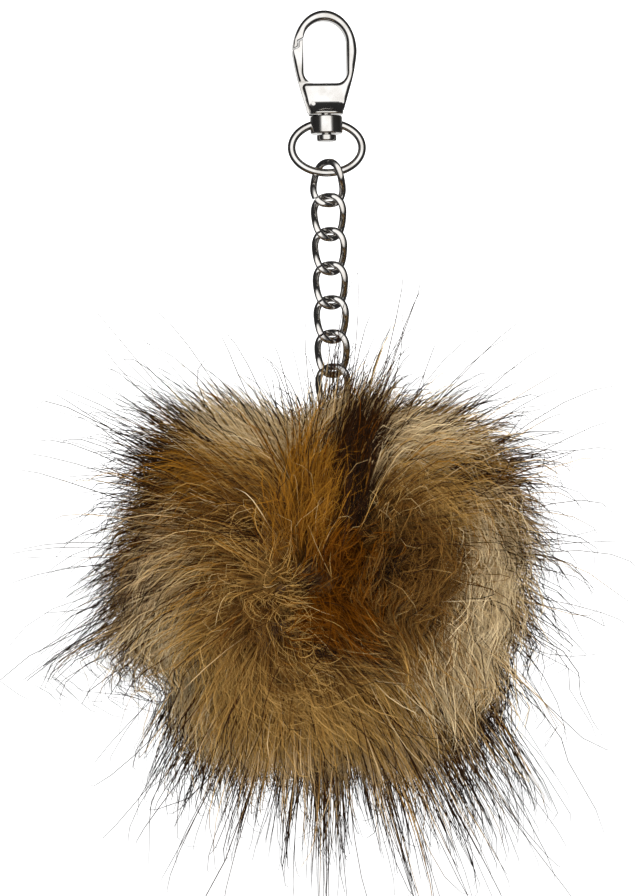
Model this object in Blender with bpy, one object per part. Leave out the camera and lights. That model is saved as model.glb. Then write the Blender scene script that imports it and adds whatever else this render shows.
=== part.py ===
# Fur pom pom on a curb chain, with an oval ring and a swivel snap hook.
# Metres, +Z up, the front faces -Y.  The origin is the top inside point of the
# hook's eye, where whatever carries the piece touches it, and the swivel's axis
# and the hanging chain run straight down from there.
import math
import random
from collections import namedtuple

import bmesh
import bpy
from mathutils import Matrix, Vector

GAP = 0.0003                     # clearance between neighbouring pieces
MERGE = 1e-7                     # points nearer than this are one
SHARP_FROM = 35.0                # degrees between faces that are shaded apart
BEVEL_FROM = 40.0                # degrees between faces whose edge is bevelled

# Degrees of a round stretch, 0 to the right and 90 up, and its straight steps
Arc = namedtuple("Arc", "start end steps")

# Snap hook: a flat cast body round an open eye
EYE_HALF_WIDTH = 0.00505
EYE_DEPTH = 0.0144
EYE_CORNER = 0.0026              # round corners at the bottom of the eye
BAR_ABOVE_EYE = 0.00235
WAIST_HALF_WIDTH = 0.0074        # widest place of the body
WAIST_DEPTH = 0.0071
FOOT_HALF_WIDTH = 0.00395
FOOT_DEPTH = 0.0207
SIDE_POWER = 1.4                 # how late the sides draw in below the waist
HOOK_THICKNESS = 0.0038
HOOK_BEVEL = 0.0004
GATE_BEVEL = 0.0003
BEVEL_STEPS = 2
BAR_ARC = Arc(start=7.5, end=174.0, steps=22)
EYE_TOP_ARC = Arc(start=168.5, end=0.0, steps=18)
EYE_CORNER_ARC = Arc(start=0.0, end=-90.0, steps=6)
SIDE_STEPS = 8
CHEEK_LEFT = 0.00545             # left edge of the plate that covers the gate's lever
CHEEK_CORNER = 0.0010
CHEEK_ARC = Arc(start=90.0, end=195.0, steps=5)
FLARE_DEPTH = 0.0184             # the body swells from here to its round foot
FLARE_START_RADIUS = 0.0018
FOOT_RADIUS = 0.00375
FOOT_THICKNESS = 0.00095
FLARE_STEPS = 6
ROUND_STEPS = 28                 # steps round the foot and the collar
BORE_STEPS = 20                  # steps round a bore and round the rivet

# Gate, which closes the left side of the eye
PIVOT_X = -0.0031
PIVOT_Z = -0.0192
PIVOT_BOSS = 0.0011
PIN_RADIUS = 0.00045
PIN_STEPS = 16
PIN_BORE = 0.0007
PIN_BORE_REACH = 0.0040          # runs past both faces of the hook
BOSS_ARC = Arc(start=15.0, end=-50.0, steps=5)
GATE_WAIST_HALF_WIDTH = 0.00745
GATE_FOOT_HALF_WIDTH = 0.0043
LEVER_THICKNESS = 0.0018
SLOT_THICKNESS = LEVER_THICKNESS + 2.0 * GAP
GATE_SIDE_END_Z = -0.0200
GATE_SIDE_STEPS = 10
GATE_CORNER_ARC = Arc(start=180.0, end=262.0, steps=8)
SHOULDER_ROUND = 0.0003
TAIL_X = -0.0037
TAIL_Z = -0.0206
TAIL_RADIUS = 0.00075
TAIL_ARC = Arc(start=-40.0, end=-180.0, steps=6)
LAP_X = -0.0062                  # middle of the stepped joint between nose and gate
LAP_SLOPE = 0.5
LAP_INNER_Z = -0.0042            # slit at the eye's side
LAP_OUTER_Z = -0.00665           # slit at the outer side
PIN_SHORT = 0.00005              # how far each end of the pin stays under the cheek's face

# Corners of plane shapes in the hook's own plane
Corner = namedtuple("Corner", "x z")
BEYOND_LEFT = -0.0090            # anywhere left of the hook
BEYOND_RIGHT = 0.0010            # right of the gate
BEYOND_BELOW = -0.0240           # under the foot
SLOT_RIGHT = (                   # right edge of the space that the lever sweeps, top to bottom
    Corner(x=-0.0005, z=-0.0135),
    Corner(x=-0.0005, z=-0.0153),
    Corner(x=-0.0017, z=-0.0194),
    Corner(x=-0.0022, z=BEYOND_BELOW),
)
ARM_END = (                      # lower end of the gate's arm, sloped to clear the cheeks when it opens
    Corner(x=BEYOND_LEFT, z=-0.0141),
    Corner(x=-0.0041, z=-0.0141),
    Corner(x=-0.0024, z=-0.01335),
    Corner(x=BEYOND_RIGHT, z=-0.01335),
)

# Swivel and oval ring
RIVET_SHANK = 0.0011
RIVET_BORE = RIVET_SHANK + GAP
RIVET_TOP_Z = -0.0202
RIVET_HEAD_RADIUS = 0.00228
RIVET_HEAD_HEIGHT = 0.0014
COLLAR_RADIUS = 0.00374
COLLAR_HEIGHT = 0.00405
COLLAR_CHAMFER = 0.00025
RING_HALF_WIDTH = 0.0091
RING_HALF_HEIGHT = 0.0067
RING_WIRE = 0.00185
RING_Z = -0.02915
OVAL_ARC = Arc(start=0.0, end=360.0, steps=40)

# Curb chain
LINK_COUNT = 7
LINK_PITCH = 0.00785
LINK_LENGTH = 0.0113
LINK_WIDTH = 0.0082
LINK_WIRE = 0.00155
LINK_TWIST = 0.75                # slant of each end out of the chain's plane
LINK_FLAT = 0.0021               # half thickness that the cut faces leave
LINK_SQUARENESS = 2.4
LINK_STEPS = 28
FIRST_LINK_Z = -0.0373
FIRST_LINK_TURN = -18.0          # degrees about the chain, so that the link straddles the ring's wire

# Sewn cord loop between the last link and the pom pom
LOOP_WIRE = 0.0014
BOW_ARC = Arc(start=0.0, end=180.0, steps=8)

# Pom pom: a stuffed ball with locks of fur
BALL_X = -0.0022
BALL_Z = -0.1308
BALL_HALF_WIDTH = 0.0400
BALL_HALF_DEPTH = 0.0365
BALL_HALF_HEIGHT = 0.0370
BALL_SQUARENESS = 2.5
BALL_GRID = 7                    # faces along each side of the ball's six patches
BALL_TURN = 22.0                 # degrees about Z, so that no row of locks faces the front
BALL_UNEVEN = 0.22               # how far a root's corner strays, over the patch spacing
BARE_RADIUS = 0.005              # no locks this near the chain's axis, on the crown
EVEN_FACES = 1.5                 # faces from the crown's middle whose corners don't stray
CUBE_TOP = 0.99                  # higher than this on the unit cube is its top patch
LOCK_ROOT = 0.86                 # lock width over the face that it grows from
LOCK_BEND = 0.2                  # share of its upright length that a lock loses at its tip
LOCK_UNEVEN_LENGTH = 0.16
LOCK_UNEVEN_LEAN = 0.12
LOCK_SEED = 7

# Length of the locks and how far their tips lean, from the crown to the bottom.
# height is the vertical part of the ball's outward direction.
Pile = namedtuple("Pile", "height length lean_out lean_down")
PILE = (
    Pile(height=1.0, length=0.0090, lean_out=0.55, lean_down=0.00),
    Pile(height=0.6, length=0.0105, lean_out=0.45, lean_down=0.05),
    Pile(height=0.0, length=0.0150, lean_out=0.10, lean_down=0.45),
    Pile(height=-0.4, length=0.0180, lean_out=0.00, lean_down=0.70),
    Pile(height=-0.75, length=0.0225, lean_out=0.00, lean_down=0.80),
    Pile(height=-1.0, length=0.0220, lean_out=0.20, lean_down=0.30),
)

# Tufts that stand out of the pile: where they grow, how wide, where they lean.
Tuft = namedtuple("Tuft", "toward spread lean extra_length")
TUFTS = (
    Tuft(toward=(-0.85, -0.10, 0.60), spread=0.34, lean=(-0.75, 0.0, 0.05), extra_length=0.0060),
    Tuft(toward=(-1.00, -0.10, -0.25), spread=0.30, lean=(-0.42, 0.0, -0.55), extra_length=0.0035),
    Tuft(toward=(0.40, -0.10, 0.95), spread=0.26, lean=(0.20, 0.0, 0.30), extra_length=0.0030),
    Tuft(toward=(0.90, -0.10, 0.55), spread=0.34, lean=(0.50, 0.0, -0.05), extra_length=0.0030),
)

# Lock section along its length: place from root to tip, width over the root's.
Section = namedtuple("Section", "place width")
LOCK_SECTIONS = (
    Section(place=0.38, width=0.86),
    Section(place=0.74, width=0.52),
)

RING_SIDES = 10
LINK_SIDES = 8
LOOP_SIDES = 8


def clear_scene():
    for scene_object in list(bpy.data.objects):
        bpy.data.objects.remove(scene_object)


def material(name, colour, roughness, metallic):
    made = bpy.data.materials.new(name)
    made.use_nodes = True
    shader = made.node_tree.nodes["Principled BSDF"]
    shader.inputs["Base Color"].default_value = (*colour, 1.0)
    shader.inputs["Roughness"].default_value = roughness
    shader.inputs["Metallic"].default_value = metallic
    return made


def link_object(name, mesh, surface):
    made = bpy.data.objects.new(name, mesh)
    if surface is not None:
        mesh.materials.append(surface)
    bpy.context.scene.collection.objects.link(made)
    return made


def mesh_from(name, form):
    bmesh.ops.recalc_face_normals(form, faces=form.faces)
    mesh = bpy.data.meshes.new(name)
    form.to_mesh(mesh)
    form.free()
    mesh.shade_smooth()
    mesh.set_sharp_from_angle(angle=math.radians(SHARP_FROM))
    return mesh


def make_cutter(cutter):
    cutter.hide_render = True
    cutter.display_type = "WIRE"
    return cutter


def boolean(target, tool, operation):
    step = target.modifiers.new(f"{operation.lower()} {tool.name}", "BOOLEAN")
    step.object = tool
    step.operation = operation
    step.solver = "EXACT"


def bevel(target, width, segments):
    step = target.modifiers.new("bevel", "BEVEL")
    step.width = width
    step.segments = segments
    step.limit_method = "ANGLE"
    step.angle_limit = math.radians(BEVEL_FROM)


def move_origin(target, point):
    """Put the object's origin on the point and leave its shape where it is."""
    target.data.transform(Matrix.Translation(-Vector(point)))
    target.location = point


# ---------------------------------------------------------------- plane shapes

def spaced(start, end, steps):
    return [start + (end - start) * step / steps for step in range(steps + 1)]


def arc(centre, radii, sweep):
    """Points of an elliptic arc in the XZ plane."""
    points = []
    for turn in spaced(*sweep):
        angle = math.radians(turn)
        points.append((centre[0] + radii[0] * math.cos(angle), centre[1] + radii[1] * math.sin(angle)))
    return points


def side_half_width(z, waist, foot):
    """Half width of the hook below its waist, where the sides draw in to the foot."""
    drop = max(0.0, (-WAIST_DEPTH - z) / (FOOT_DEPTH - WAIST_DEPTH))
    return waist - (waist - foot) * drop ** SIDE_POWER


def prism(name, outline, y_from, y_to, surface=None):
    """A plate with the given XZ outline between two depths."""
    form = bmesh.new()
    front = [form.verts.new((x, y_from, z)) for x, z in outline]
    face = form.faces.new(front)
    pulled = bmesh.ops.extrude_face_region(form, geom=[face])
    back = [part for part in pulled["geom"] if isinstance(part, bmesh.types.BMVert)]
    bmesh.ops.translate(form, verts=back, vec=(0.0, y_to - y_from, 0.0))
    return link_object(name, mesh_from(name, form), surface)


def turned(name, profile, steps, surface=None):
    """A solid turned about Z from a profile of radius and height, which starts and ends on the axis."""
    form = bmesh.new()
    line = [form.verts.new((radius, 0.0, z)) for radius, z in profile]
    edges = [form.edges.new(pair) for pair in zip(line, line[1:])]
    bmesh.ops.spin(form, geom=line + edges, cent=(0.0, 0.0, 0.0), axis=(0.0, 0.0, 1.0),
                   angle=2.0 * math.pi, steps=steps, use_merge=True)
    bmesh.ops.remove_doubles(form, verts=form.verts, dist=MERGE)
    return link_object(name, mesh_from(name, form), surface)


def wire(name, points, diameter, sides, closed, surface=None):
    """A round wire along a line of points."""
    curve = bpy.data.curves.new(name + "_line", "CURVE")
    curve.dimensions = "3D"
    curve.bevel_depth = diameter / 2.0
    curve.bevel_resolution = (sides - 4) // 2
    curve.use_fill_caps = not closed
    spline = curve.splines.new("POLY")
    spline.points.add(len(points) - 1)
    for knot, point in zip(spline.points, points):
        knot.co = (*point, 1.0)
    spline.use_cyclic_u = closed
    guide = bpy.data.objects.new(name + "_line", curve)
    bpy.context.scene.collection.objects.link(guide)
    bpy.context.view_layer.update()
    seen = guide.evaluated_get(bpy.context.evaluated_depsgraph_get())
    form = bmesh.new()
    form.from_mesh(seen.to_mesh())
    seen.to_mesh_clear()
    bpy.data.objects.remove(guide)
    bmesh.ops.remove_doubles(form, verts=form.verts, dist=MERGE)
    return link_object(name, mesh_from(name, form), surface)


# ------------------------------------------------------------------- snap hook

def lap_z(x, height, x_there):
    """Height of a slit of the stepped joint, which slopes down to the left."""
    return height + LAP_SLOPE * (x - x_there)


def hook_outline():
    foot = -FOOT_DEPTH
    lip_x = LAP_X - GAP / 2.0
    right = [(side_half_width(z, WAIST_HALF_WIDTH, FOOT_HALF_WIDTH), z)
             for z in spaced(foot, -WAIST_DEPTH, SIDE_STEPS)]
    over = arc((0.0, -WAIST_DEPTH), (WAIST_HALF_WIDTH, WAIST_DEPTH + BAR_ABOVE_EYE), BAR_ARC)
    nose = [
        (-WAIST_HALF_WIDTH, lap_z(-WAIST_HALF_WIDTH, LAP_OUTER_Z, -WAIST_HALF_WIDTH) + GAP / 2.0),
        (lip_x, lap_z(lip_x, LAP_OUTER_Z, -WAIST_HALF_WIDTH) + GAP / 2.0),
        (lip_x, lap_z(lip_x, LAP_INNER_Z, -EYE_HALF_WIDTH) + GAP / 2.0),
    ]
    eye_top = arc((0.0, -EYE_HALF_WIDTH), (EYE_HALF_WIDTH, EYE_HALF_WIDTH), EYE_TOP_ARC)
    eye_corner = arc((EYE_HALF_WIDTH - EYE_CORNER, EYE_CORNER - EYE_DEPTH), (EYE_CORNER, EYE_CORNER),
                     EYE_CORNER_ARC)
    cheek = arc((CHEEK_CORNER - CHEEK_LEFT, -EYE_DEPTH - CHEEK_CORNER), (CHEEK_CORNER, CHEEK_CORNER),
                CHEEK_ARC)
    return right + over + nose + eye_top + eye_corner + cheek + [(-FOOT_HALF_WIDTH, foot)]


def foot_flare():
    """Round foot under the body, with the hollow curve that leads down to it."""
    profile = [(0.0, -FLARE_DEPTH)]
    for part in spaced(0.0, 1.0, FLARE_STEPS):
        radius = FLARE_START_RADIUS + (FOOT_RADIUS - FLARE_START_RADIUS) * part * part
        profile.append((radius, -FLARE_DEPTH - (FOOT_DEPTH - FLARE_DEPTH) * part))
    profile.append((FOOT_RADIUS, -FOOT_DEPTH - FOOT_THICKNESS))
    profile.append((0.0, -FOOT_DEPTH - FOOT_THICKNESS))
    return make_cutter(turned("foot_flare", profile, ROUND_STEPS))


def gate_slot():
    """Space between the cheeks, wide enough for the lever at every opening."""
    half = SLOT_THICKNESS / 2.0
    outline = [(BEYOND_LEFT, SLOT_RIGHT[0].z)] + list(SLOT_RIGHT) + [(BEYOND_LEFT, BEYOND_BELOW)]
    return make_cutter(prism("gate_slot", outline, -half, half))


def round_bore(name, radius, start, end):
    """A cutter for a bore from one point to another."""
    start = Vector(start)
    end = Vector(end)
    form = bmesh.new()
    bmesh.ops.create_cone(form, cap_ends=True, segments=BORE_STEPS, radius1=radius,
                          radius2=radius, depth=(end - start).length)
    turn = Vector((0.0, 0.0, 1.0)).rotation_difference(end - start).to_matrix().to_4x4()
    bmesh.ops.transform(form, matrix=Matrix.Translation((start + end) / 2.0) @ turn, verts=form.verts)
    return make_cutter(link_object(name, mesh_from(name, form), None))


def hook_body(metal, pin_bore):
    half = HOOK_THICKNESS / 2.0
    body = prism("hook_body", hook_outline(), -half, half, metal)
    bevel(body, HOOK_BEVEL, BEVEL_STEPS)
    boolean(body, foot_flare(), "UNION")
    boolean(body, gate_slot(), "DIFFERENCE")
    bore_end = (0.0, 0.0, RIVET_TOP_Z + GAP)
    rivet_bore = round_bore("rivet_bore", RIVET_BORE, bore_end, (0.0, 0.0, BEYOND_BELOW))
    boolean(body, rivet_bore, "DIFFERENCE")
    boolean(body, pin_bore, "DIFFERENCE")
    return body


def gate_outline():
    tongue_x = LAP_X + GAP / 2.0
    tail = arc((TAIL_X, TAIL_Z), (TAIL_RADIUS, TAIL_RADIUS), TAIL_ARC)
    outer = [(-side_half_width(z, GATE_WAIST_HALF_WIDTH, GATE_FOOT_HALF_WIDTH), z)
             for z in spaced(GATE_SIDE_END_Z, LAP_OUTER_Z - GAP / 2.0 - SHOULDER_ROUND, GATE_SIDE_STEPS)]
    shoulder = [
        (-GATE_WAIST_HALF_WIDTH, lap_z(-GATE_WAIST_HALF_WIDTH, LAP_OUTER_Z, -WAIST_HALF_WIDTH) - GAP / 2.0),
        (tongue_x, lap_z(tongue_x, LAP_OUTER_Z, -WAIST_HALF_WIDTH) - GAP / 2.0),
        (tongue_x, lap_z(tongue_x, LAP_INNER_Z, -EYE_HALF_WIDTH) - GAP / 2.0),
        (-EYE_HALF_WIDTH, LAP_INNER_Z - GAP / 2.0),
    ]
    inner = arc((EYE_CORNER - EYE_HALF_WIDTH, EYE_CORNER - EYE_DEPTH), (EYE_CORNER, EYE_CORNER),
                GATE_CORNER_ARC)
    boss = arc((PIVOT_X, PIVOT_Z), (PIVOT_BOSS, PIVOT_BOSS), BOSS_ARC)
    return tail + outer + shoulder + inner + boss


def gate(metal, pin_bore):
    """The gate's arm is as thick as the hook, and its lever below runs between the cheeks."""
    half = HOOK_THICKNESS / 2.0
    arm = prism("gate", gate_outline(), -half, half, metal)
    bevel(arm, GATE_BEVEL, BEVEL_STEPS)
    beside_lever = list(ARM_END) + [(BEYOND_RIGHT, BEYOND_BELOW), (BEYOND_LEFT, BEYOND_BELOW)]
    for name, side in (("lever_front", -1.0), ("lever_back", 1.0)):
        pocket = prism(name, beside_lever, side * LEVER_THICKNESS / 2.0, side * HOOK_THICKNESS)
        boolean(arm, make_cutter(pocket), "DIFFERENCE")
    boolean(arm, pin_bore, "DIFFERENCE")
    move_origin(arm, (PIVOT_X, 0.0, PIVOT_Z))
    return arm


def gate_pin(metal):
    reach = HOOK_THICKNESS / 2.0 - PIN_SHORT
    form = bmesh.new()
    bmesh.ops.create_cone(form, cap_ends=True, segments=PIN_STEPS, radius1=PIN_RADIUS, radius2=PIN_RADIUS,
                          depth=2.0 * reach, matrix=Matrix.Rotation(math.pi / 2.0, 4, "X"))
    pin = link_object("gate_pin", mesh_from("gate_pin", form), metal)
    pin.location = (PIVOT_X, 0.0, PIVOT_Z)
    return pin


# ------------------------------------------------------------- swivel and ring

def collar_top():
    return -FOOT_DEPTH - FOOT_THICKNESS - GAP


def swivel_rivet(metal):
    head_top = collar_top() - COLLAR_HEIGHT - GAP
    head_bottom = head_top - RIVET_HEAD_HEIGHT
    chamfer = RIVET_HEAD_HEIGHT / 4.0
    profile = [(0.0, RIVET_TOP_Z), (RIVET_SHANK, RIVET_TOP_Z), (RIVET_SHANK, head_top),
               (RIVET_HEAD_RADIUS, head_top), (RIVET_HEAD_RADIUS, head_bottom + chamfer),
               (RIVET_HEAD_RADIUS - chamfer, head_bottom), (0.0, head_bottom)]
    return turned("swivel_rivet", profile, BORE_STEPS, metal)


def ring(metal):
    """Oval wire ring whose top runs into the swivel's collar."""
    top = collar_top()
    bottom = top - COLLAR_HEIGHT
    profile = [(0.0, top), (COLLAR_RADIUS - COLLAR_CHAMFER, top), (COLLAR_RADIUS, top - COLLAR_CHAMFER),
               (COLLAR_RADIUS, bottom + COLLAR_CHAMFER), (COLLAR_RADIUS - COLLAR_CHAMFER, bottom),
               (0.0, bottom)]
    collar = turned("ring", profile, ROUND_STEPS, metal)
    oval = arc((0.0, RING_Z), (RING_HALF_WIDTH - RING_WIRE / 2.0, RING_HALF_HEIGHT - RING_WIRE / 2.0),
               OVAL_ARC)[:-1]
    hoop = wire("ring_wire", [(x, 0.0, z) for x, z in oval], RING_WIRE, RING_SIDES, True)
    boolean(collar, make_cutter(hoop), "UNION")
    bore = round_bore("collar_bore", RIVET_BORE, (0.0, 0.0, top + RING_WIRE), (0.0, 0.0, bottom - RING_WIRE))
    boolean(collar, bore, "DIFFERENCE")
    return collar


# ----------------------------------------------------------------------- chain

def signed_power(value, power):
    return math.copysign(abs(value) ** power, value)


def link_line():
    """Centre line of one link, whose two ends slant to opposite sides."""
    half_width = (LINK_WIDTH - LINK_WIRE) / 2.0
    half_length = (LINK_LENGTH - LINK_WIRE) / 2.0
    points = []
    for step in range(LINK_STEPS):
        angle = 2.0 * math.pi * step / LINK_STEPS
        x = half_width * signed_power(math.cos(angle), 2.0 / LINK_SQUARENESS)
        z = half_length * signed_power(math.sin(angle), 2.0 / LINK_SQUARENESS)
        slant = LINK_TWIST * math.sin(math.pi / 2.0 * z / half_length)
        points.append((x, -slant * x, z))
    return points


def chain(metal, parent):
    first = wire("link_1", link_line(), LINK_WIRE, LINK_SIDES, True, metal)
    for vertex in first.data.vertices:
        vertex.co.y = max(-LINK_FLAT, min(LINK_FLAT, vertex.co.y))
    for number in range(1, LINK_COUNT + 1):
        link = first
        if number > 1:
            link = bpy.data.objects.new(f"link_{number}", first.data)
            bpy.context.scene.collection.objects.link(link)
        link.location.z = FIRST_LINK_Z - LINK_PITCH * (number - 1)
        link.rotation_euler.z = math.radians(FIRST_LINK_TURN) if number == 1 else 0.0
        link.parent = parent


# --------------------------------------------------------------------- pom pom

def ball_point(direction):
    """Point of the ball's skin in a direction, on a rounded, slightly square form."""
    halves = (BALL_HALF_WIDTH, BALL_HALF_DEPTH, BALL_HALF_HEIGHT)
    size = sum(abs(part) ** BALL_SQUARENESS for part in direction) ** (1.0 / BALL_SQUARENESS)
    return Vector([half * part / size for half, part in zip(halves, direction)])


def crown_z():
    """Height of the flat facet on the ball's crown."""
    corner = math.tan(math.pi / 4.0 / BALL_GRID)
    return BALL_Z + ball_point((corner, corner, 1.0)).z


def hanging_loop(tape, parent):
    """Cord through the last link, both ends sewn down on the ball's crown."""
    radius = LINK_WIRE / 2.0 + GAP + LOOP_WIRE / 2.0
    last_end_z = FIRST_LINK_Z - LINK_PITCH * (LINK_COUNT - 1) - (LINK_LENGTH - LINK_WIRE) / 2.0
    across = Vector((-LINK_TWIST, 1.0, 0.0)).normalized()
    middle = Vector((0.0, 0.0, last_end_z))
    foot = crown_z() + GAP - last_end_z
    bow = arc((0.0, 0.0), (radius, radius), BOW_ARC)
    points = []
    for reach, height in [(radius, foot)] + bow + [(-radius, foot)]:
        points.append(middle + across * reach + Vector((0.0, 0.0, height)))
    loop = wire("hanging_loop", points, LOOP_WIRE, LOOP_SIDES, False, tape)
    loop.parent = parent


def pile_at(height):
    """Length and lean of the locks at one height of the ball's outward direction."""
    for above, below in zip(PILE, PILE[1:]):
        if height >= below.height:
            part = (above.height - height) / (above.height - below.height)
            return [a + (b - a) * part for a, b in zip(above[1:], below[1:])]
    return list(PILE[-1][1:])


def lock_shape(outward, chance):
    """Length of a lock and the vector that its tip leans by, per unit of length."""
    length, lean_out, lean_down = pile_at(outward.z)
    level = Vector((outward.x, outward.y, 0.0))
    lean = level * lean_out + Vector((0.0, 0.0, -lean_down))
    for tuft in TUFTS:
        away = (outward - Vector(tuft.toward).normalized()).length
        share = math.exp(-(away / tuft.spread) ** 2)
        lean = lean.lerp(Vector(tuft.lean), share)
        length += tuft.extra_length * share
    length *= 1.0 + chance.uniform(-LOCK_UNEVEN_LENGTH, LOCK_UNEVEN_LENGTH)
    stray = Vector([chance.uniform(-LOCK_UNEVEN_LEAN, LOCK_UNEVEN_LEAN) for _ in range(3)])
    return length, lean + stray


def ball_skin(chance):
    """Six patches of a cube, spread unevenly and pushed out to the ball's form."""
    form = bmesh.new()
    bmesh.ops.create_cube(form, size=2.0)
    bmesh.ops.subdivide_edges(form, edges=form.edges, cuts=BALL_GRID - 1, use_grid_fill=True)
    stray = BALL_UNEVEN * 2.0 / BALL_GRID
    turn = Matrix.Rotation(math.radians(BALL_TURN), 3, "Z")
    for vertex in form.verts:
        place = vertex.co.copy()
        on_crown = place.z > CUBE_TOP and max(abs(place.x), abs(place.y)) < EVEN_FACES / BALL_GRID
        if not on_crown:
            place += Vector([chance.uniform(-stray, stray) for _ in range(3)])
        vertex.co = ball_point(turn @ Vector([math.tan(math.pi / 4.0 * part) for part in place]))
    return form


def grow_lock(form, face, chance):
    """Draw one lock of four sides out of a face, tapering to a point."""
    root = face.calc_center_median()
    outward = Vector((root.x / BALL_HALF_WIDTH, root.y / BALL_HALF_DEPTH, root.z / BALL_HALF_HEIGHT))
    outward.normalize()
    normal = face.normal.copy()
    length, lean = lock_shape(outward, chance)

    def place(part):
        return root + length * (normal * part * (1.0 - LOCK_BEND * part) + lean * part * part)

    corners = [corner.co - root for corner in face.verts]
    bmesh.ops.inset_individual(form, faces=[face], thickness=0.0, use_even_offset=False)
    for corner, arm in zip(face.verts, corners):
        corner.co = root + arm * LOCK_ROOT
    for section in LOCK_SECTIONS:
        face = bmesh.ops.extrude_discrete_faces(form, faces=[face])["faces"][0]
        for corner, arm in zip(face.verts, corners):
            corner.co = place(section.place) + arm * LOCK_ROOT * section.width
    tip = bmesh.ops.poke(form, faces=[face])["verts"][0]
    tip.co = place(1.0)


def pom_pom(fur, parent):
    chance = random.Random(LOCK_SEED)
    form = ball_skin(chance)
    form.normal_update()
    for face in list(form.faces):
        centre = face.calc_center_median()
        on_crown = centre.z > 0.0 and math.hypot(centre.x + BALL_X, centre.y) < BARE_RADIUS
        if not on_crown:
            grow_lock(form, face, chance)
    ball = link_object("pom_pom", mesh_from("pom_pom", form), fur)
    ball.location = (BALL_X, 0.0, BALL_Z)
    ball.parent = parent
    return ball


def build():
    clear_scene()
    metal = material("polished_nickel", (0.62, 0.61, 0.60), 0.16, 1.0)
    pin_metal = material("pin_steel", (0.55, 0.55, 0.55), 0.25, 1.0)
    rivet_metal = material("rivet_nickel", (0.60, 0.59, 0.58), 0.20, 1.0)
    gate_metal = material("gate_nickel", (0.62, 0.61, 0.60), 0.16, 1.0)
    ring_metal = material("ring_nickel", (0.58, 0.57, 0.56), 0.14, 1.0)
    chain_metal = material("chain_nickel", (0.58, 0.57, 0.55), 0.18, 1.0)
    cord = material("brown_cord", (0.12, 0.07, 0.035), 0.9, 0.0)
    fur = material("brown_fur", (0.26, 0.16, 0.07), 0.8, 0.0)

    front, back = [(PIVOT_X, depth, PIVOT_Z) for depth in (-PIN_BORE_REACH, PIN_BORE_REACH)]
    pin_bore = round_bore("pin_bore", PIN_BORE, front, back)
    hook_body(metal, pin_bore)
    gate(gate_metal, pin_bore)
    gate_pin(pin_metal)
    swivel_rivet(rivet_metal)

    # Everything below the swivel turns about the vertical through the origin.
    pendant = bpy.data.objects.new("pendant", None)
    bpy.context.scene.collection.objects.link(pendant)
    ring(ring_metal).parent = pendant
    chain(chain_metal, pendant)
    hanging_loop(cord, pendant)
    pom_pom(fur, pendant)


build()
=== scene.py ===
import math
from collections import namedtuple

import bmesh
import bpy
import numpy as np
from mathutils import Matrix, Vector
from mathutils.kdtree import KDTree


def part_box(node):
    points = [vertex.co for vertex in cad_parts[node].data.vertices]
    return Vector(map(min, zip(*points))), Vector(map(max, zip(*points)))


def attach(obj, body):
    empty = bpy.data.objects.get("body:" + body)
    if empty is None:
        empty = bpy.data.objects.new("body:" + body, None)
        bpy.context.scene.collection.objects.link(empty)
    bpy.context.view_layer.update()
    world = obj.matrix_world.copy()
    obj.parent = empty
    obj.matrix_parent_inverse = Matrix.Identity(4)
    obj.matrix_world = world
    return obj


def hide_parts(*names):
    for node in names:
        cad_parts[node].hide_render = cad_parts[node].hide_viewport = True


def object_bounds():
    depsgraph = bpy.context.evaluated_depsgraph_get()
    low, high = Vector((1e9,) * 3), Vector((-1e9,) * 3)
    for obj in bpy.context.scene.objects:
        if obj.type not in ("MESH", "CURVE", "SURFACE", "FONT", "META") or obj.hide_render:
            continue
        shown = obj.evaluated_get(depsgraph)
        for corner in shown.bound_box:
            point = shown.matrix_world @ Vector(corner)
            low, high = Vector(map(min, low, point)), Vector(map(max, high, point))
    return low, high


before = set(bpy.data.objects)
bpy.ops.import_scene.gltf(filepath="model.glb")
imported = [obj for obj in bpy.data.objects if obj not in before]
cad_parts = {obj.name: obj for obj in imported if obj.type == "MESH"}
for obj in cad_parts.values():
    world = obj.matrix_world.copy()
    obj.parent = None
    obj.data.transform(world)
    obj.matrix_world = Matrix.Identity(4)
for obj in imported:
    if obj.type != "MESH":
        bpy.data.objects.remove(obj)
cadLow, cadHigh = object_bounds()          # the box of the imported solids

mm = 0.001
scene = bpy.context.scene


def say(stage):
    print("pom pom:", stage, flush=True)


def paint(red, green, blue, gain=1.0):
    # a colour as a picture shows it (0 to 255), in the linear values that shaders take
    values = []
    for part in (red, green, blue):
        share = part / 255.0
        linear = share / 12.92 if share <= 0.04045 else ((share + 0.055) / 1.055) ** 2.4
        values.append(min(1.0, linear * gain))
    return (*values, 1.0)


# ---- steps that the materials share

def newLook(name):
    look = bpy.data.materials.new(name)
    look.use_nodes = True
    nodes = look.node_tree.nodes
    return look, nodes, look.node_tree.links, nodes["Principled BSDF"]


def addNoise(nodes, wires, place, scale, detail=2.0):
    noise = nodes.new("ShaderNodeTexNoise")
    noise.inputs["Scale"].default_value = scale
    noise.inputs["Detail"].default_value = detail
    wires.new(place, noise.inputs["Vector"])
    return noise.outputs["Fac"]


def addStrand(nodes, wires, across, scale):
    # a value that changes from hair to hair
    noise = nodes.new("ShaderNodeTexNoise")
    noise.noise_dimensions = "1D"
    noise.inputs["Scale"].default_value = scale
    wires.new(across, noise.inputs["W"])
    return noise.outputs["Fac"]


def addRange(nodes, wires, value, before, after):
    # values between the two in before come out between the two in after
    change = nodes.new("ShaderNodeMapRange")
    change.inputs["From Min"].default_value = before[0]
    change.inputs["From Max"].default_value = before[1]
    change.inputs["To Min"].default_value = after[0]
    change.inputs["To Max"].default_value = after[1]
    wires.new(value, change.inputs["Value"])
    return change.outputs["Result"]


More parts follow.
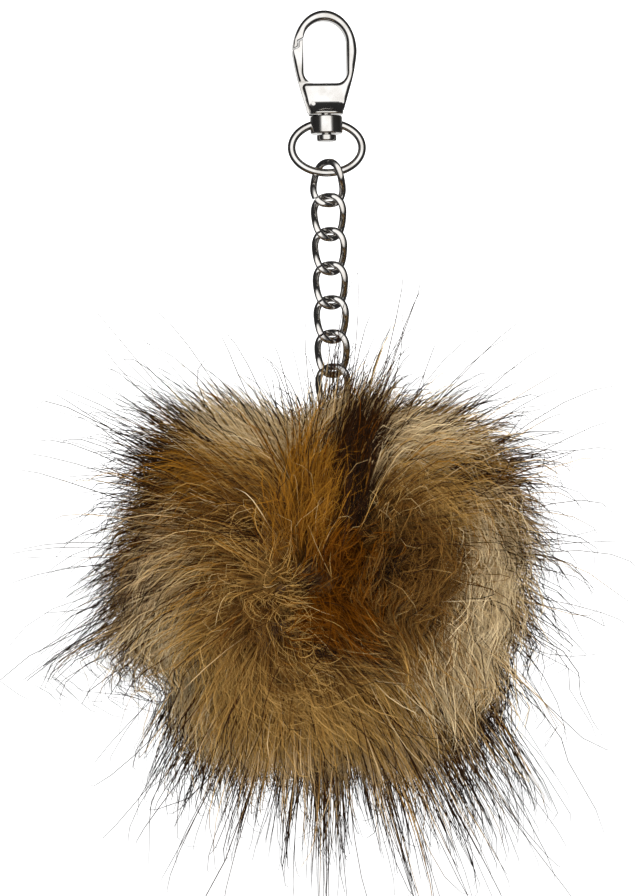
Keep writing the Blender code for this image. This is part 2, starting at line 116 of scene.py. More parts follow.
def addRamp(nodes, wires, value, stops, blend="LINEAR"):
    ramp = nodes.new("ShaderNodeValToRGB")
    ramp.color_ramp.interpolation = blend
    while len(ramp.color_ramp.elements) < len(stops):
        ramp.color_ramp.elements.new(0.5)
    for element, (position, colour) in zip(ramp.color_ramp.elements, stops):
        element.position = position
        element.color = colour
    wires.new(value, ramp.inputs["Fac"])
    return ramp.outputs["Color"]


def addLevel(nodes, wires, colour, level, shader):
    # the shader's colour, lighter or darker by level
    change = nodes.new("ShaderNodeHueSaturation")
    wires.new(colour, change.inputs["Color"])
    wires.new(level, change.inputs["Value"])
    wires.new(change.outputs["Color"], shader.inputs["Base Color"])


def addBump(nodes, wires, height, strength, depth, shader):
    bump = nodes.new("ShaderNodeBump")
    bump.inputs["Strength"].default_value = strength
    bump.inputs["Distance"].default_value = depth
    wires.new(height, bump.inputs["Height"])
    wires.new(bump.outputs["Normal"], shader.inputs["Normal"])


# ---- camera and studio

shot = {
    "lookX": -3.4 * mm,                # middle of the picture on the hanging piece
    "lookZ": -98.2 * mm,
    "pictureHeight": 206.1 * mm,       # what the picture's height takes in at the piece
    "distance": 600.0 * mm,
    "azimuth": -7.0,                   # the hook shows a little of its left side
    "roll": 1.48,                      # the chain leans this much in the picture
    "sensor": 36.0,
    "clipNear": 0.01,
    "clipFar": 20.0,
}

studio = {
    "floorBelow": 0.25,                # the pom pom hangs well above the floor
    "floorRadius": 1.8,
    "coveRadius": 1.0,
    "wallTop": 2.6,
    "paperColour": (0.93, 0.93, 0.93, 1.0),
    "paperRough": 0.9,
    "paperGlow": 1.10,
    "roomGlow": 1.5,
}

# What the metal mirrors, from straight behind the piece (0) round to straight behind the camera (1)
surroundings = (
    (0.0, 0.60), (0.06, 0.45), (0.13, 0.06), (0.35, 0.019), (0.80, 0.024), (0.87, 0.16), (0.94, 1.0),
)

Lamp = namedtuple("Lamp", "name place size power")
lamps = (
    Lamp("keyBox", (-0.60, -1.00, 0.40), 0.40, 11.0),
    Lamp("fillBox", (0.80, -0.80, -0.10), 0.60, 6.0),
    Lamp("lowBox", (-0.10, -0.75, -0.80), 0.70, 6.0),
    Lamp("topBox", (0.05, -0.10, 0.85), 0.50, 4.0),
    Lamp("backBox", (0.45, 0.85, 0.15), 0.80, 9.0),
)


def shotAxes():
    # to the right, towards the camera and up, before the picture leans
    turn = math.radians(shot["azimuth"])
    right = Vector((math.cos(turn), math.sin(turn), 0.0))
    return right, Vector((math.sin(turn), -math.cos(turn), 0.0)), Vector((0.0, 0.0, 1.0))


def makeCamera():
    cameraData = bpy.data.cameras.new("camera")
    cameraData.sensor_width = shot["sensor"]
    cameraData.lens = shot["sensor"] * shot["distance"] / shot["pictureHeight"]
    cameraData.clip_start = shot["clipNear"]
    cameraData.clip_end = shot["clipFar"]
    camera = bpy.data.objects.new("camera", cameraData)
    scene.collection.objects.link(camera)
    lean = math.radians(shot["roll"])
    levelRight, facing, up = shotAxes()
    right = levelRight * math.cos(lean) - up * math.sin(lean)
    above = levelRight * math.sin(lean) + up * math.cos(lean)
    place = Vector((shot["lookX"], 0.0, shot["lookZ"])) + facing * shot["distance"]
    turned = Matrix((right, above, facing)).transposed().to_4x4()
    camera.matrix_world = Matrix.Translation(place) @ turned
    scene.camera = camera


def makeStudio():
    # a round white cove: the floor curves up into the wall all the way round
    floorZ = cadLow.z - studio["floorBelow"]
    radius = studio["coveRadius"]
    bend = arc((studio["floorRadius"], floorZ + radius), (radius, radius), -90.0, 0.0, 16)
    wall = (studio["floorRadius"] + radius, studio["wallTop"])
    cove = lathe("studioCove", [(0.0, floorZ), *bend, wall], 96)
    look, _, _, shader = newLook("studioWhite")
    shader.inputs["Base Color"].default_value = studio["paperColour"]
    shader.inputs["Roughness"].default_value = studio["paperRough"]
    shader.inputs["Emission Color"].default_value = studio["paperColour"]
    shader.inputs["Emission Strength"].default_value = studio["paperGlow"]
    cove.data.materials.append(look)
    cove.visible_diffuse = False
    cove.visible_glossy = False
    cove.visible_shadow = False
    makeRoom()
    aim = Vector((0.0, 0.0, shot["lookZ"]))
    for lamp in lamps:
        light = bpy.data.lights.new(lamp.name, "AREA")
        light.shape = "SQUARE"
        light.size = lamp.size
        light.energy = lamp.power
        holder = bpy.data.objects.new(lamp.name, light)
        scene.collection.objects.link(holder)
        holder.visible_camera = False
        holder.visible_glossy = False
        holder.location = lamp.place
        holder.rotation_mode = "QUATERNION"
        holder.rotation_quaternion = (aim - Vector(lamp.place)).to_track_quat("-Z", "Y")
    scene.view_settings.view_transform = "Standard"
    scene.view_settings.look = "None"


def makeRoom():
    # soft light from the front, dark to the sides, so that polished metal has its dark lines
    world = bpy.data.worlds.new("studioRoom")
    world.use_nodes = True
    nodes = world.node_tree.nodes
    wires = world.node_tree.links
    place = nodes.new("ShaderNodeTexCoord")
    facing = nodes.new("ShaderNodeVectorMath")
    facing.operation = "DOT_PRODUCT"
    facing.inputs[1].default_value = shotAxes()[1]
    wires.new(place.outputs["Generated"], facing.inputs[0])
    share = addRange(nodes, wires, facing.outputs["Value"], (-1.0, 1.0), (0.0, 1.0))
    stops = [(position, (level, level, level, 1.0)) for position, level in surroundings]
    wires.new(addRamp(nodes, wires, share, stops, "EASE"), nodes["Background"].inputs["Color"])
    nodes["Background"].inputs["Strength"].default_value = studio["roomGlow"]
    scene.world = world


# ---- mesh helpers

def meshObject(name, form):
    mesh = bpy.data.meshes.new(name)
    form.to_mesh(mesh)
    form.free()
    made = bpy.data.objects.new(name, mesh)
    scene.collection.objects.link(made)
    return made


def plate(name, outline, front, back):
    # a flat piece with this outline (x, z), from depth y = front to back
    form = bmesh.new()
    stackRings(form, [[(x, y, z) for x, z in outline] for y in (front, back)])
    return meshObject(name, form)


def stackRings(form, rings):
    # joins rings of points into one closed form
    rows = [[form.verts.new(point) for point in ring] for ring in rings]
    form.faces.new(rows[0])
    form.faces.new(rows[-1])
    joinRows(form, zip(rows, rows[1:]))


def joinRows(form, pairs):
    for near, far in pairs:
        for number in range(len(near)):
            after = (number + 1) % len(near)
            form.faces.new((near[number], near[after], far[after], far[number]))
    bmesh.ops.recalc_face_normals(form, faces=form.faces)


casting = {
    "crispEdge": 0.25,                 # rounding at a crisp point, as a share of the full rounding,
    "widening": 0.25,                  # and how soon it widens away from there
    "narrowEdge": 0.44,                # most rounding on a narrow part, as a share of its width
    "leastMitre": 0.6,                 # sharper corners aren't drawn in any further than this
    "facingAway": -0.3,                # edges that face each other this much bound one narrow part
}


def roundedPlate(name, outline, half, rounding, crisp, steps=5):
    # a flat casting whose edges roll over in a quarter circle, much less near the crisp points
    points = np.array(outline)
    ahead = np.roll(points, -1, 0) - points
    area = (points[:, 0] * ahead[:, 1] - points[:, 1] * ahead[:, 0]).sum()
    inward = unit(np.stack((-ahead[:, 1], ahead[:, 0]), 1)) * math.copysign(1.0, area)
    middle = unit(inward + np.roll(inward, 1, 0))
    mitre = middle / np.maximum((middle * inward).sum(1, keepdims=True), casting["leastMitre"])
    between = points[None] - points[:, None]
    apart = np.linalg.norm(between, axis=2)
    least = casting["crispEdge"]
    wider = apart[:, sorted(crisp)].min(1) / rounding * casting["widening"]
    width = np.clip(least + wider, least, 1.0) * rounding
    # where the plate is narrow, its two edges share the width
    opposite = ((between * middle[:, None]).sum(2) > 0) & (middle @ middle.T < casting["facingAway"])
    width = np.minimum(width, np.where(opposite, apart, 1.0).min(1) * casting["narrowEdge"])
    front = []
    for angle in spaced(math.pi / 2, 0.0, steps):
        inset = points + mitre * (width * (1 - math.cos(angle)))[:, None]
        depth = half - width * (1 - math.sin(angle))
        front.append([(x, -y, z) for (x, z), y in zip(inset, depth)])
    back = [[(x, -y, z) for x, y, z in ring] for ring in reversed(front)]
    form = bmesh.new()
    stackRings(form, front + back)
    bmesh.ops.triangulate(form, faces=[face for face in form.faces if len(face.verts) > 4])
    return meshObject(name, form)


def lathe(name, profile, steps=64):
    # a turned piece from (radius, z) points that start and end on the axis
    form = bmesh.new()
    line = [form.verts.new((radius, 0.0, z)) for radius, z in profile]
    edges = [form.edges.new(pair) for pair in zip(line, line[1:])]
    bmesh.ops.spin(form, geom=line + edges, cent=(0, 0, 0), axis=(0, 0, 1), angle=math.tau, steps=steps,
                   use_merge=True)
    bmesh.ops.remove_doubles(form, verts=form.verts, dist=1e-7)
    bmesh.ops.recalc_face_normals(form, faces=form.faces)
    return meshObject(name, form)


def boreTool(name, radius, top, bottom):
    return lathe(name, [(0.0, top), (radius, top), (radius, bottom), (0.0, bottom)])


def tube(name, line, radius, sides, closed, shape=None):
    # a round wire along a line; shape may move each finished point
    form = bmesh.new()
    rings = []
    count = len(line)
    for number, middle in enumerate(line):
        before = line[number - 1] if number or closed else middle
        after = line[(number + 1) % count] if number < count - 1 or closed else middle
        along = (after - before).normalized()
        across = Vector((0.0, 1.0, 0.0)) - along * along.y
        across.normalize()
        beside = along.cross(across)
        ring = []
        for side in range(sides):
            angle = math.tau * side / sides
            point = middle + (across * math.cos(angle) + beside * math.sin(angle)) * radius
            ring.append(form.verts.new(shape(point) if shape else point))
        rings.append(ring)
    pairs = list(zip(rings, rings[1:]))
    if closed:
        pairs.append((rings[-1], rings[0]))
    else:
        form.faces.new(reversed(rings[0]))
        form.faces.new(rings[-1])
    joinRows(form, pairs)
    return meshObject(name, form)


def combine(target, tool, operation):
    step = target.modifiers.new(operation.lower(), "BOOLEAN")
    step.object = tool
    step.operation = operation
    step.solver = "EXACT"


def settle(target, tools=(), sharpFrom=32.0):
    # keeps what the modifiers make, drops the cutting tools, and shades the result cleanly
    bpy.context.view_layer.update()
    seen = target.evaluated_get(bpy.context.evaluated_depsgraph_get())
    mesh = bpy.data.meshes.new_from_object(seen)
    target.modifiers.clear()
    target.data = mesh
    mesh.name = target.name
    for tool in tools:
        bpy.data.objects.remove(tool)
    mesh.shade_smooth()
    mesh.set_sharp_from_angle(angle=math.radians(sharpFrom))
    even = target.modifiers.new("even shading", "WEIGHTED_NORMAL")
    even.keep_sharp = True
    return target


def arc(middle, radii, start, end, steps):
    points = []
    for step in range(steps + 1):
        angle = math.radians(start + (end - start) * step / steps)
        points.append((middle[0] + radii[0] * math.cos(angle), middle[1] + radii[1] * math.sin(angle)))
    return points


def signedPower(value, power):
    return math.copysign(abs(value) ** power, value)


def spaced(start, end, steps):
    return [start + (end - start) * step / steps for step in range(steps + 1)]


def unit(vectors):
    return vectors / np.maximum(np.linalg.norm(vectors, axis=-1, keepdims=True), 1e-12)


# ---- nickel plate

nickel = {
    "colour": (0.70, 0.685, 0.665, 1.0),
    "tarnish": (0.50, 0.47, 0.43, 1.0),
    "tarnishFrom": 0.40,               # where in the clouds the tarnish starts and is full
    "tarnishFull": 0.80,
    "warmGreen": 0.6,                  # warmth adds this much green for its red
    "roughLow": 0.06,
    "roughHigh": 0.20,
    "cloudScale": 260.0,
    "cloudDetail": 4.0,
    "cloudSpan": (0.35, 0.75),
    "scratchScale": (5200.0, 5200.0, 500.0),
    "scratchTurn": (0.3, 0.5, 0.0),
    "scratchStrength": 0.10,
    "scratchDepth": 0.02 * mm,
}


def nickelPlate(name, warm=0.0, rough=1.0):
    look, nodes, wires, shader = newLook(name)
    shader.inputs["Metallic"].default_value = 1.0
    place = nodes.new("ShaderNodeTexCoord")
    cloud = addNoise(nodes, wires, place.outputs["Object"], nickel["cloudScale"], nickel["cloudDetail"])
    tarnish = nickel["tarnish"]
    dull = (tarnish[0] + warm, tarnish[1] + warm * nickel["warmGreen"], tarnish[2], 1.0)
    stops = ((nickel["tarnishFrom"], nickel["colour"]), (nickel["tarnishFull"], dull))
    wires.new(addRamp(nodes, wires, cloud, stops), shader.inputs["Base Color"])
    gloss = (nickel["roughLow"] * rough, nickel["roughHigh"] * rough)
    wires.new(addRange(nodes, wires, cloud, nickel["cloudSpan"], gloss), shader.inputs["Roughness"])
    # hairline scratches: noise drawn out along the piece
    stretch = nodes.new("ShaderNodeMapping")
    stretch.inputs["Scale"].default_value = nickel["scratchScale"]
    stretch.inputs["Rotation"].default_value = nickel["scratchTurn"]
    wires.new(place.outputs["Object"], stretch.inputs["Vector"])
    scratch = addNoise(nodes, wires, stretch.outputs["Vector"], 1.0)
    addBump(nodes, wires, scratch, nickel["scratchStrength"], nickel["scratchDepth"], shader)
    return look


# ---- snap hook

hook = {
    "eyeHalf": 5.05 * mm,
    "eyeDepth": 14.4 * mm,
    "eyeCorner": 2.6 * mm,
    "barTurn": (2.5, 174.0),           # where each arc starts and ends, in degrees round from the right
    "eyeTurn": (168.5, 0.0),
    "cheekTurn": (90.0, 195.0),
    "innerTurn": (180.0, 262.0),
    "bossTurn": (15.0, -50.0),
    "tailTurn": (-40.0, -180.0),
    "barAbove": 2.35 * mm,
    "waistHalf": 7.4 * mm,
    "waistDepth": 7.1 * mm,
    "footHalf": 3.95 * mm,
    "footDepth": 20.7 * mm,
    "sidePower": 1.4,
    "thick": 3.8 * mm,
    "roundEdge": 0.98 * mm,
    "cheekLeft": 5.45 * mm,
    "cheekCorner": 1.0 * mm,
    "flareDepth": 18.1 * mm,
    "flareStart": 1.82 * mm,
    "footRadius": 3.75 * mm,
    "footThick": 0.95 * mm,
    "footLip": 0.2 * mm,
    "flareCurve": 2.0,                 # how late the foot scoops out
    "footSquareness": 3.2,             # the foot's lip is near round,
    "plateSquarer": 6.0,               # and the plate above it is this much squarer
    "squareFade": 1.5,
    "gap": 0.3 * mm,
    "pivotX": -3.1 * mm,
    "pivotZ": -19.2 * mm,
    "boss": 1.1 * mm,
    "pin": 0.45 * mm,
    "pinSeat": 0.02 * mm,
    "pinPlay": 0.1 * mm,
    "pinSunk": 0.01 * mm,
    "gateWaist": 7.45 * mm,
    "gateFoot": 4.3 * mm,
    "gateEdge": 0.80 * mm,
    "lever": 1.8 * mm,
    "gateEndZ": -20.0 * mm,
    "tailX": -3.7 * mm,
    "tailZ": -20.6 * mm,
    "tailRadius": 0.75 * mm,
    "lapX": -6.2 * mm,
    "lapSlope": 0.5,
    "lapInnerZ": -4.2 * mm,
    "lapOuterZ": -6.65 * mm,
    "armLeftZ": -14.1 * mm,
    "armStepX": -4.1 * mm,
    "armRightX": -2.4 * mm,
    "armRightZ": -13.35 * mm,
    "beyondLeft": -9.0 * mm,
    "beyondRight": 1.0 * mm,
    "beyondBelow": -24.0 * mm,
    "rivetTop": -20.2 * mm,
    "rivetBore": 1.2 * mm,
}
slotRightEdge = [(x * mm, z * mm) for x, z in ((-0.5, -13.5), (-0.5, -15.3), (-1.7, -19.4), (-2.2, -24.0))]


def sideHalf(z, waist, foot):
    drop = min(1.0, max(0.0, (-hook["waistDepth"] - z) / (hook["footDepth"] - hook["waistDepth"])))
    return waist - (waist - foot) * drop ** hook["sidePower"]


def lapZ(x, height, there):
    return height + hook["lapSlope"] * (x - there)


def hookOutline():
    h = hook
    foot = -h["footDepth"]
    lipX = h["lapX"] - h["gap"] / 2
    waist = h["waistHalf"]
    rise = h["waistDepth"] + h["barAbove"]
    right = [(sideHalf(z, waist, h["footHalf"]), z) for z in spaced(foot, -h["waistDepth"], 24)]
    over = arc((0.0, -h["waistDepth"]), (waist, rise), *h["barTurn"], 72)
    nose = [
        (-waist, lapZ(-waist, h["lapOuterZ"], -waist) + h["gap"] / 2),
        (lipX, lapZ(lipX, h["lapOuterZ"], -waist) + h["gap"] / 2),
        (lipX, lapZ(lipX, h["lapInnerZ"], -h["eyeHalf"]) + h["gap"] / 2),
    ]
    eyeTop = arc((0.0, -h["eyeHalf"]), (h["eyeHalf"], h["eyeHalf"]), *h["eyeTurn"], 60)
    cornerAt = (h["eyeHalf"] - h["eyeCorner"], h["eyeCorner"] - h["eyeDepth"])
    eyeCorner = arc(cornerAt, (h["eyeCorner"], h["eyeCorner"]), 0.0, -90.0, 18)
    cheekAt = (h["cheekCorner"] - h["cheekLeft"], -h["eyeDepth"] - h["cheekCorner"])
    cheek = arc(cheekAt, (h["cheekCorner"], h["cheekCorner"]), *h["cheekTurn"], 12)
    outline = right + over + nose + eyeTop + eyeCorner + cheek + [(-h["footHalf"], foot)]
    noseAt = len(right) + len(over)
    # crisp: the nose with its neighbours, and the foot's two corners
    return outline, {0, len(outline) - 1} | set(range(noseAt - 1, noseAt + len(nose) + 1))


def gateOutline():
    h = hook
    tongueX = h["lapX"] + h["gap"] / 2
    tail = arc((h["tailX"], h["tailZ"]), (h["tailRadius"], h["tailRadius"]), *h["tailTurn"], 12)
    top = h["lapOuterZ"] - h["gap"]
    outer = [(-sideHalf(z, h["gateWaist"], h["gateFoot"]), z) for z in spaced(h["gateEndZ"], top, 28)]
    shoulder = [
        (-h["gateWaist"], lapZ(-h["gateWaist"], h["lapOuterZ"], -h["waistHalf"]) - h["gap"] / 2),
        (tongueX, lapZ(tongueX, h["lapOuterZ"], -h["waistHalf"]) - h["gap"] / 2),
        (tongueX, lapZ(tongueX, h["lapInnerZ"], -h["eyeHalf"]) - h["gap"] / 2),
        (-h["eyeHalf"], h["lapInnerZ"] - h["gap"] / 2),
    ]
    innerAt = (h["eyeCorner"] - h["eyeHalf"], h["eyeCorner"] - h["eyeDepth"])
    inner = arc(innerAt, (h["eyeCorner"], h["eyeCorner"]), *h["innerTurn"], 18)
    boss = arc((h["pivotX"], h["pivotZ"]), (h["boss"], h["boss"]), *h["bossTurn"], 10)
    outline = tail + outer + shoulder + inner + boss
    shoulderAt = len(tail) + len(outer)
    crisp = set(range(shoulderAt, shoulderAt + len(shoulder)))
    return outline, crisp | set(range(len(outline) - len(boss), len(outline))) | set(range(len(tail)))


def pinSolid(name, radius, reach):
    form = bmesh.new()
    bmesh.ops.create_cone(form, cap_ends=True, segments=48, radius1=radius, radius2=radius, depth=2 * reach,
                          matrix=Matrix.Translation((hook["pivotX"], 0.0, hook["pivotZ"]))
                          @ Matrix.Rotation(math.pi / 2, 4, "X"))
    return meshObject(name, form)


def flaredFoot():
    # below the flat plate, both faces scoop out to a deep foot with a lip
    h = hook
    bottom = -h["footDepth"] - h["footThick"]
    scoop = -h["flareDepth"] - bottom - 2 * h["footLip"]
    levels = [(part, -h["flareDepth"] - scoop * part, 0.0) for part in spaced(0.0, 1.0, 14)]
    levels += [(1.0, bottom + h["footLip"], 0.0), (1.0, bottom, h["footLip"])]
    rings = []
    for part, z, shrink in levels:
        wide = sideHalf(z, h["waistHalf"], h["footHalf"]) - shrink
        deep = h["flareStart"] + (h["footRadius"] - h["flareStart"]) * part ** h["flareCurve"] - shrink
        power = 2 / (h["footSquareness"] + h["plateSquarer"] * (1.0 - part) ** h["squareFade"])
        ring = []
        for turn in spaced(0.0, math.tau, 120)[:-1]:
            x = wide * signedPower(math.cos(turn), power)
            ring.append((x, deep * signedPower(math.sin(turn), power), z))
        rings.append(ring)
    form = bmesh.new()
    stackRings(form, rings)
    return meshObject("flare", form)


def makeHook(look):
    h = hook
    half = h["thick"] / 2
    outline, crisp = hookOutline()
    body = roundedPlate("snapHookBody", outline, half, h["roundEdge"], crisp)
    flare = flaredFoot()
    combine(body, flare, "UNION")
    slotHalf = h["lever"] / 2 + h["gap"]
    slotTop = (h["beyondLeft"], slotRightEdge[0][1])
    slotLine = [slotTop, *slotRightEdge, (h["beyondLeft"], h["beyondBelow"])]
    slot = plate("slot", slotLine, -slotHalf, slotHalf)
    combine(body, slot, "DIFFERENCE")
    bore = boreTool("bore", h["rivetBore"], h["rivetTop"] + h["gap"], h["beyondBelow"])
    combine(body, bore, "DIFFERENCE")
    pinBore = pinSolid("pinBore", h["pin"] + h["pinSeat"], h["thick"])
    combine(body, pinBore, "DIFFERENCE")
    settle(body, (flare, slot, bore, pinBore))
    body.data.materials.append(look)
    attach(body, "hook")
    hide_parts("hook_body")


def makeGate(look):
    h = hook
    half = h["thick"] / 2
    outline, crisp = gateOutline()
    gate = roundedPlate("snapHookGate", outline, half, h["gateEdge"], crisp)
    beside = [
        (h["beyondLeft"], h["armLeftZ"]), (h["armStepX"], h["armLeftZ"]),
        (h["armRightX"], h["armRightZ"]), (h["beyondRight"], h["armRightZ"]),
        (h["beyondRight"], h["beyondBelow"]), (h["beyondLeft"], h["beyondBelow"]),
    ]
    pockets = [plate("pocket", beside, side * h["lever"] / 2, side * h["thick"]) for side in (-1, 1)]
    for pocket in pockets:
        combine(gate, pocket, "DIFFERENCE")
    pinBore = pinSolid("gatePinBore", h["pin"] + h["pinPlay"], h["thick"])
    combine(gate, pinBore, "DIFFERENCE")
    settle(gate, (*pockets, pinBore))
    gate.data.materials.append(look)
    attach(gate, "gate")
    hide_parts("gate")


def makePin(look):
    pin = pinSolid("gatePin", hook["pin"], hook["thick"] / 2 - hook["pinSunk"])
    settle(pin)
    pin.data.materials.append(look)
    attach(pin, "hook")
    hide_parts("gate_pin")


# ---- swivel and oval ring

swivel = {
    "shank": 1.1 * mm,
    "headRadius": 2.28 * mm,
    "headHeight": 1.4 * mm,
    "headRounding": 0.32,              # as a share of its height
    "headChamfer": 0.1 * mm,
    "collarRadius": 3.74 * mm,
    "collarHeight": 4.05 * mm,
    "collarEdge": 0.35 * mm,
    "ringHalfWidth": 9.1 * mm,
    "ringHalfHeight": 6.7 * mm,
    "ringWire": 1.85 * mm,
    "ringZ": -29.15 * mm,
}


def collarTop():
    return -hook["footDepth"] - hook["footThick"] - hook["gap"]


def makeRivet(look):
    s = swivel
    headTop = collarTop() - s["collarHeight"] - hook["gap"]
    headBottom = headTop - s["headHeight"]
    edge = s["headHeight"] * s["headRounding"]
    corner = arc((s["headRadius"] - edge, headBottom + edge), (edge, edge), 0.0, -90.0, 6)
    profile = [(0.0, hook["rivetTop"]), (s["shank"], hook["rivetTop"]), (s["shank"], headTop),
               (s["headRadius"] - s["headChamfer"], headTop), (s["headRadius"], headTop - s["headChamfer"])]
    rivet = lathe("swivelRivet", profile + corner + [(0.0, headBottom)], 64)
    settle(rivet)
    rivet.data.materials.append(look)
    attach(rivet, "hook")
    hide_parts("swivel_rivet")


def makeRing(look):
    s = swivel
    top = collarTop()
    bottom = top - s["collarHeight"]
    outer = s["collarRadius"]
    edge = s["collarEdge"]
    above = arc((outer - edge, top - edge), (edge, edge), 90.0, 0.0, 5)
    below = arc((outer - edge, bottom + edge), (edge, edge), 0.0, -90.0, 5)
    collar = lathe("ovalRing", [(0.0, top), *above, *below, (0.0, bottom)], 72)
    halfWide = s["ringHalfWidth"] - s["ringWire"] / 2
    halfHigh = s["ringHalfHeight"] - s["ringWire"] / 2
    oval = arc((0.0, s["ringZ"]), (halfWide, halfHigh), 0.0, 360.0, 120)[:-1]
    line = [Vector((x, 0.0, z)) for x, z in oval]
    hoop = tube("hoop", line, s["ringWire"] / 2, 24, True)
    combine(collar, hoop, "UNION")
    bore = boreTool("ringBore", hook["rivetBore"], top + s["ringWire"], bottom - s["ringWire"])
    combine(collar, bore, "DIFFERENCE")
    settle(collar, (hoop, bore), 38.0)
    collar.data.materials.append(look)
    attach(collar, "pendant")
    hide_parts("ring")


# ---- curb chain

chain = {
    "count": 7,
    "pitch": 7.85 * mm,
    "length": 11.3 * mm,
    "width": 8.2 * mm,
    "wire": 1.62 * mm,
    "twist": 0.75,                     # slant of each end out of the chain's plane
    "pressedFrom": 1.40 * mm,          # the wire is pressed flatter beyond this depth,
    "pressedTo": 0.50,                 # to this share of its bulge
    "squareness": 2.4,
    "firstZ": -37.3 * mm,
    "firstTurn": -18.0,
    "steps": 84,
    "sides": 24,
    "jointAt": 222.0,                  # where the wire's ends meet, in degrees round the link
    "jointGap": 2.0,
}


def linkLine(start, end):
    halfWide = (chain["width"] - chain["wire"]) / 2
    halfLong = (chain["length"] - chain["wire"]) / 2
    line = []
    for step in range(chain["steps"] + 1):
        angle = math.radians(start + (end - start) * step / chain["steps"])
        x = halfWide * signedPower(math.cos(angle), 2 / chain["squareness"])
        z = halfLong * signedPower(math.sin(angle), 2 / chain["squareness"])
        slant = chain["twist"] * math.sin(math.pi / 2 * z / halfLong)
        line.append(Vector((x, -slant * x, z)))
    return line


def makeChain(look):

    def pressFlat(point):
        pressed = max(0.0, abs(point.y) - chain["pressedFrom"]) * (1.0 - chain["pressedTo"])
        return Vector((point.x, point.y - math.copysign(pressed, point.y), point.z))

    start = chain["jointAt"] + chain["jointGap"]
    line = linkLine(start, start + 360.0 - 2 * chain["jointGap"])
    for number in range(1, chain["count"] + 1):
        link = tube(f"curbLink{number}", line, chain["wire"] / 2, chain["sides"], False, pressFlat)
        settle(link, (), 30.0)
        turn = math.radians(chain["firstTurn"] if number == 1 else 0.0)
        link.location.z = chain["firstZ"] - chain["pitch"] * (number - 1)
        link.rotation_euler.z = turn
        link.data.materials.append(look)
        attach(link, "pendant")
        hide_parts(f"link_{number}")


# ---- the ball under the fur

ball = {
    "x": -2.2 * mm,
    "z": -130.8 * mm,
    "halfWide": 36.0 * mm,             # the stuffed skin that the hairs grow from
    "halfDeep": 33.0 * mm,
    "halfHigh": 33.5 * mm,
    "squareness": 2.5,
    "divisions": 5,
    "lumps": 0.7 * mm,
    "lumpTurns": 5.0,
    "clothRough": 0.95,
    "clothSheen": 0.3,
    "clothScale": 700.0,
    "clothDetail": 5.0,
    "clothSpan": (0.3, 0.7),
    # painted shade: the skin's dark browns stand for the deep shade under the fur, where it shows between the
    # hairs
    "clothShadeLow": (48, 32, 16),
    "clothShadeHigh": (98, 70, 38),
    "clothBump": 0.6,
    "clothDepth": 0.2 * mm,
}
skinWaves = np.array(((1, 2, 0.5), (-1.5, 0.7, 2), (0.4, -2, 1.2)))
ballCentre = np.array((ball["x"], 0.0, ball["z"]))
ballHalves = np.array((ball["halfWide"], ball["halfDeep"], ball["halfHigh"]))


def skinReach(directions):
    # how far the skin lies from the ball's middle
    power = ball["squareness"]
    return (np.abs(directions / ballHalves) ** power).sum(-1) ** (-1 / power)


def evenDirections(count, chance, jitter):
    number = np.arange(count) + 0.5
    z = 1 - 2 * number / count
    turn = number * math.pi * (3 - math.sqrt(5))
    level = np.sqrt(1 - z * z)
    even = np.stack((level * np.cos(turn), level * np.sin(turn), z), 1)
    return unit(even + chance.normal(0, jitter / math.sqrt(count), (count, 3)))


def roundForm(name, divisions, reachOf):
    # an even sphere whose every corner is drawn out from the ball's middle
    form = bmesh.new()
    bmesh.ops.create_icosphere(form, subdivisions=divisions, radius=1.0)
    directions = unit(np.array([corner.co for corner in form.verts]))
    places = ballCentre + directions * reachOf(directions)[:, None]
    for corner, place in zip(form.verts, places):
        corner.co = place
    made = meshObject(name, form)
    made.data.shade_smooth()
    return made, places


def lumpySkin(directions):
    lumps = np.sin(directions @ skinWaves.T * ball["lumpTurns"]).sum(1) * ball["lumps"] / len(skinWaves)
    return skinReach(directions) + lumps


def makeBall(look):
    core, _ = roundForm("stuffedBall", ball["divisions"], lumpySkin)
    core.data.materials.append(look)
    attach(core, "pendant")
    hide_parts("pom_pom")


def backingCloth():
    look, nodes, wires, shader = newLook("peltBackingShade")
    shader.inputs["Roughness"].default_value = ball["clothRough"]
    shader.inputs["Sheen Weight"].default_value = ball["clothSheen"]
    place = nodes.new("ShaderNodeTexCoord")
    grain = addNoise(nodes, wires, place.outputs["Object"], ball["clothScale"], ball["clothDetail"])
    # dark browns as painted shade for the deep shade under the fur, varied by a grain noise
    stops = zip(ball["clothSpan"], (paint(*ball["clothShadeLow"]), paint(*ball["clothShadeHigh"])))
    wires.new(addRamp(nodes, wires, grain, list(stops)), shader.inputs["Base Color"])
    addBump(nodes, wires, grain, ball["clothBump"], ball["clothDepth"], shader)
    return look


# ---- sewn cord loop

loop = {
    "wire": 1.4 * mm,
    "ply": 3,
    "turnsPerMm": 0.28,
    "plyOut": 0.24,                    # from the cord's middle to each ply's, as a share of its thickness
    "plyRadius": 0.26,
    "plySides": 8,
    "gap": 0.3 * mm,
    "rough": 0.85,
    "fibreScale": 3000.0,
    "colourLow": (36, 24, 14),
    "colourHigh": (92, 64, 36),
}


def cordLook():
    look, nodes, wires, shader = newLook("brownCord")
    shader.inputs["Roughness"].default_value = loop["rough"]
    place = nodes.new("ShaderNodeTexCoord")
    fibre = addNoise(nodes, wires, place.outputs["Object"], loop["fibreScale"])
    stops = ((0.0, paint(*loop["colourLow"])), (1.0, paint(*loop["colourHigh"])))
    wires.new(addRamp(nodes, wires, fibre, stops), shader.inputs["Base Color"])
    return look


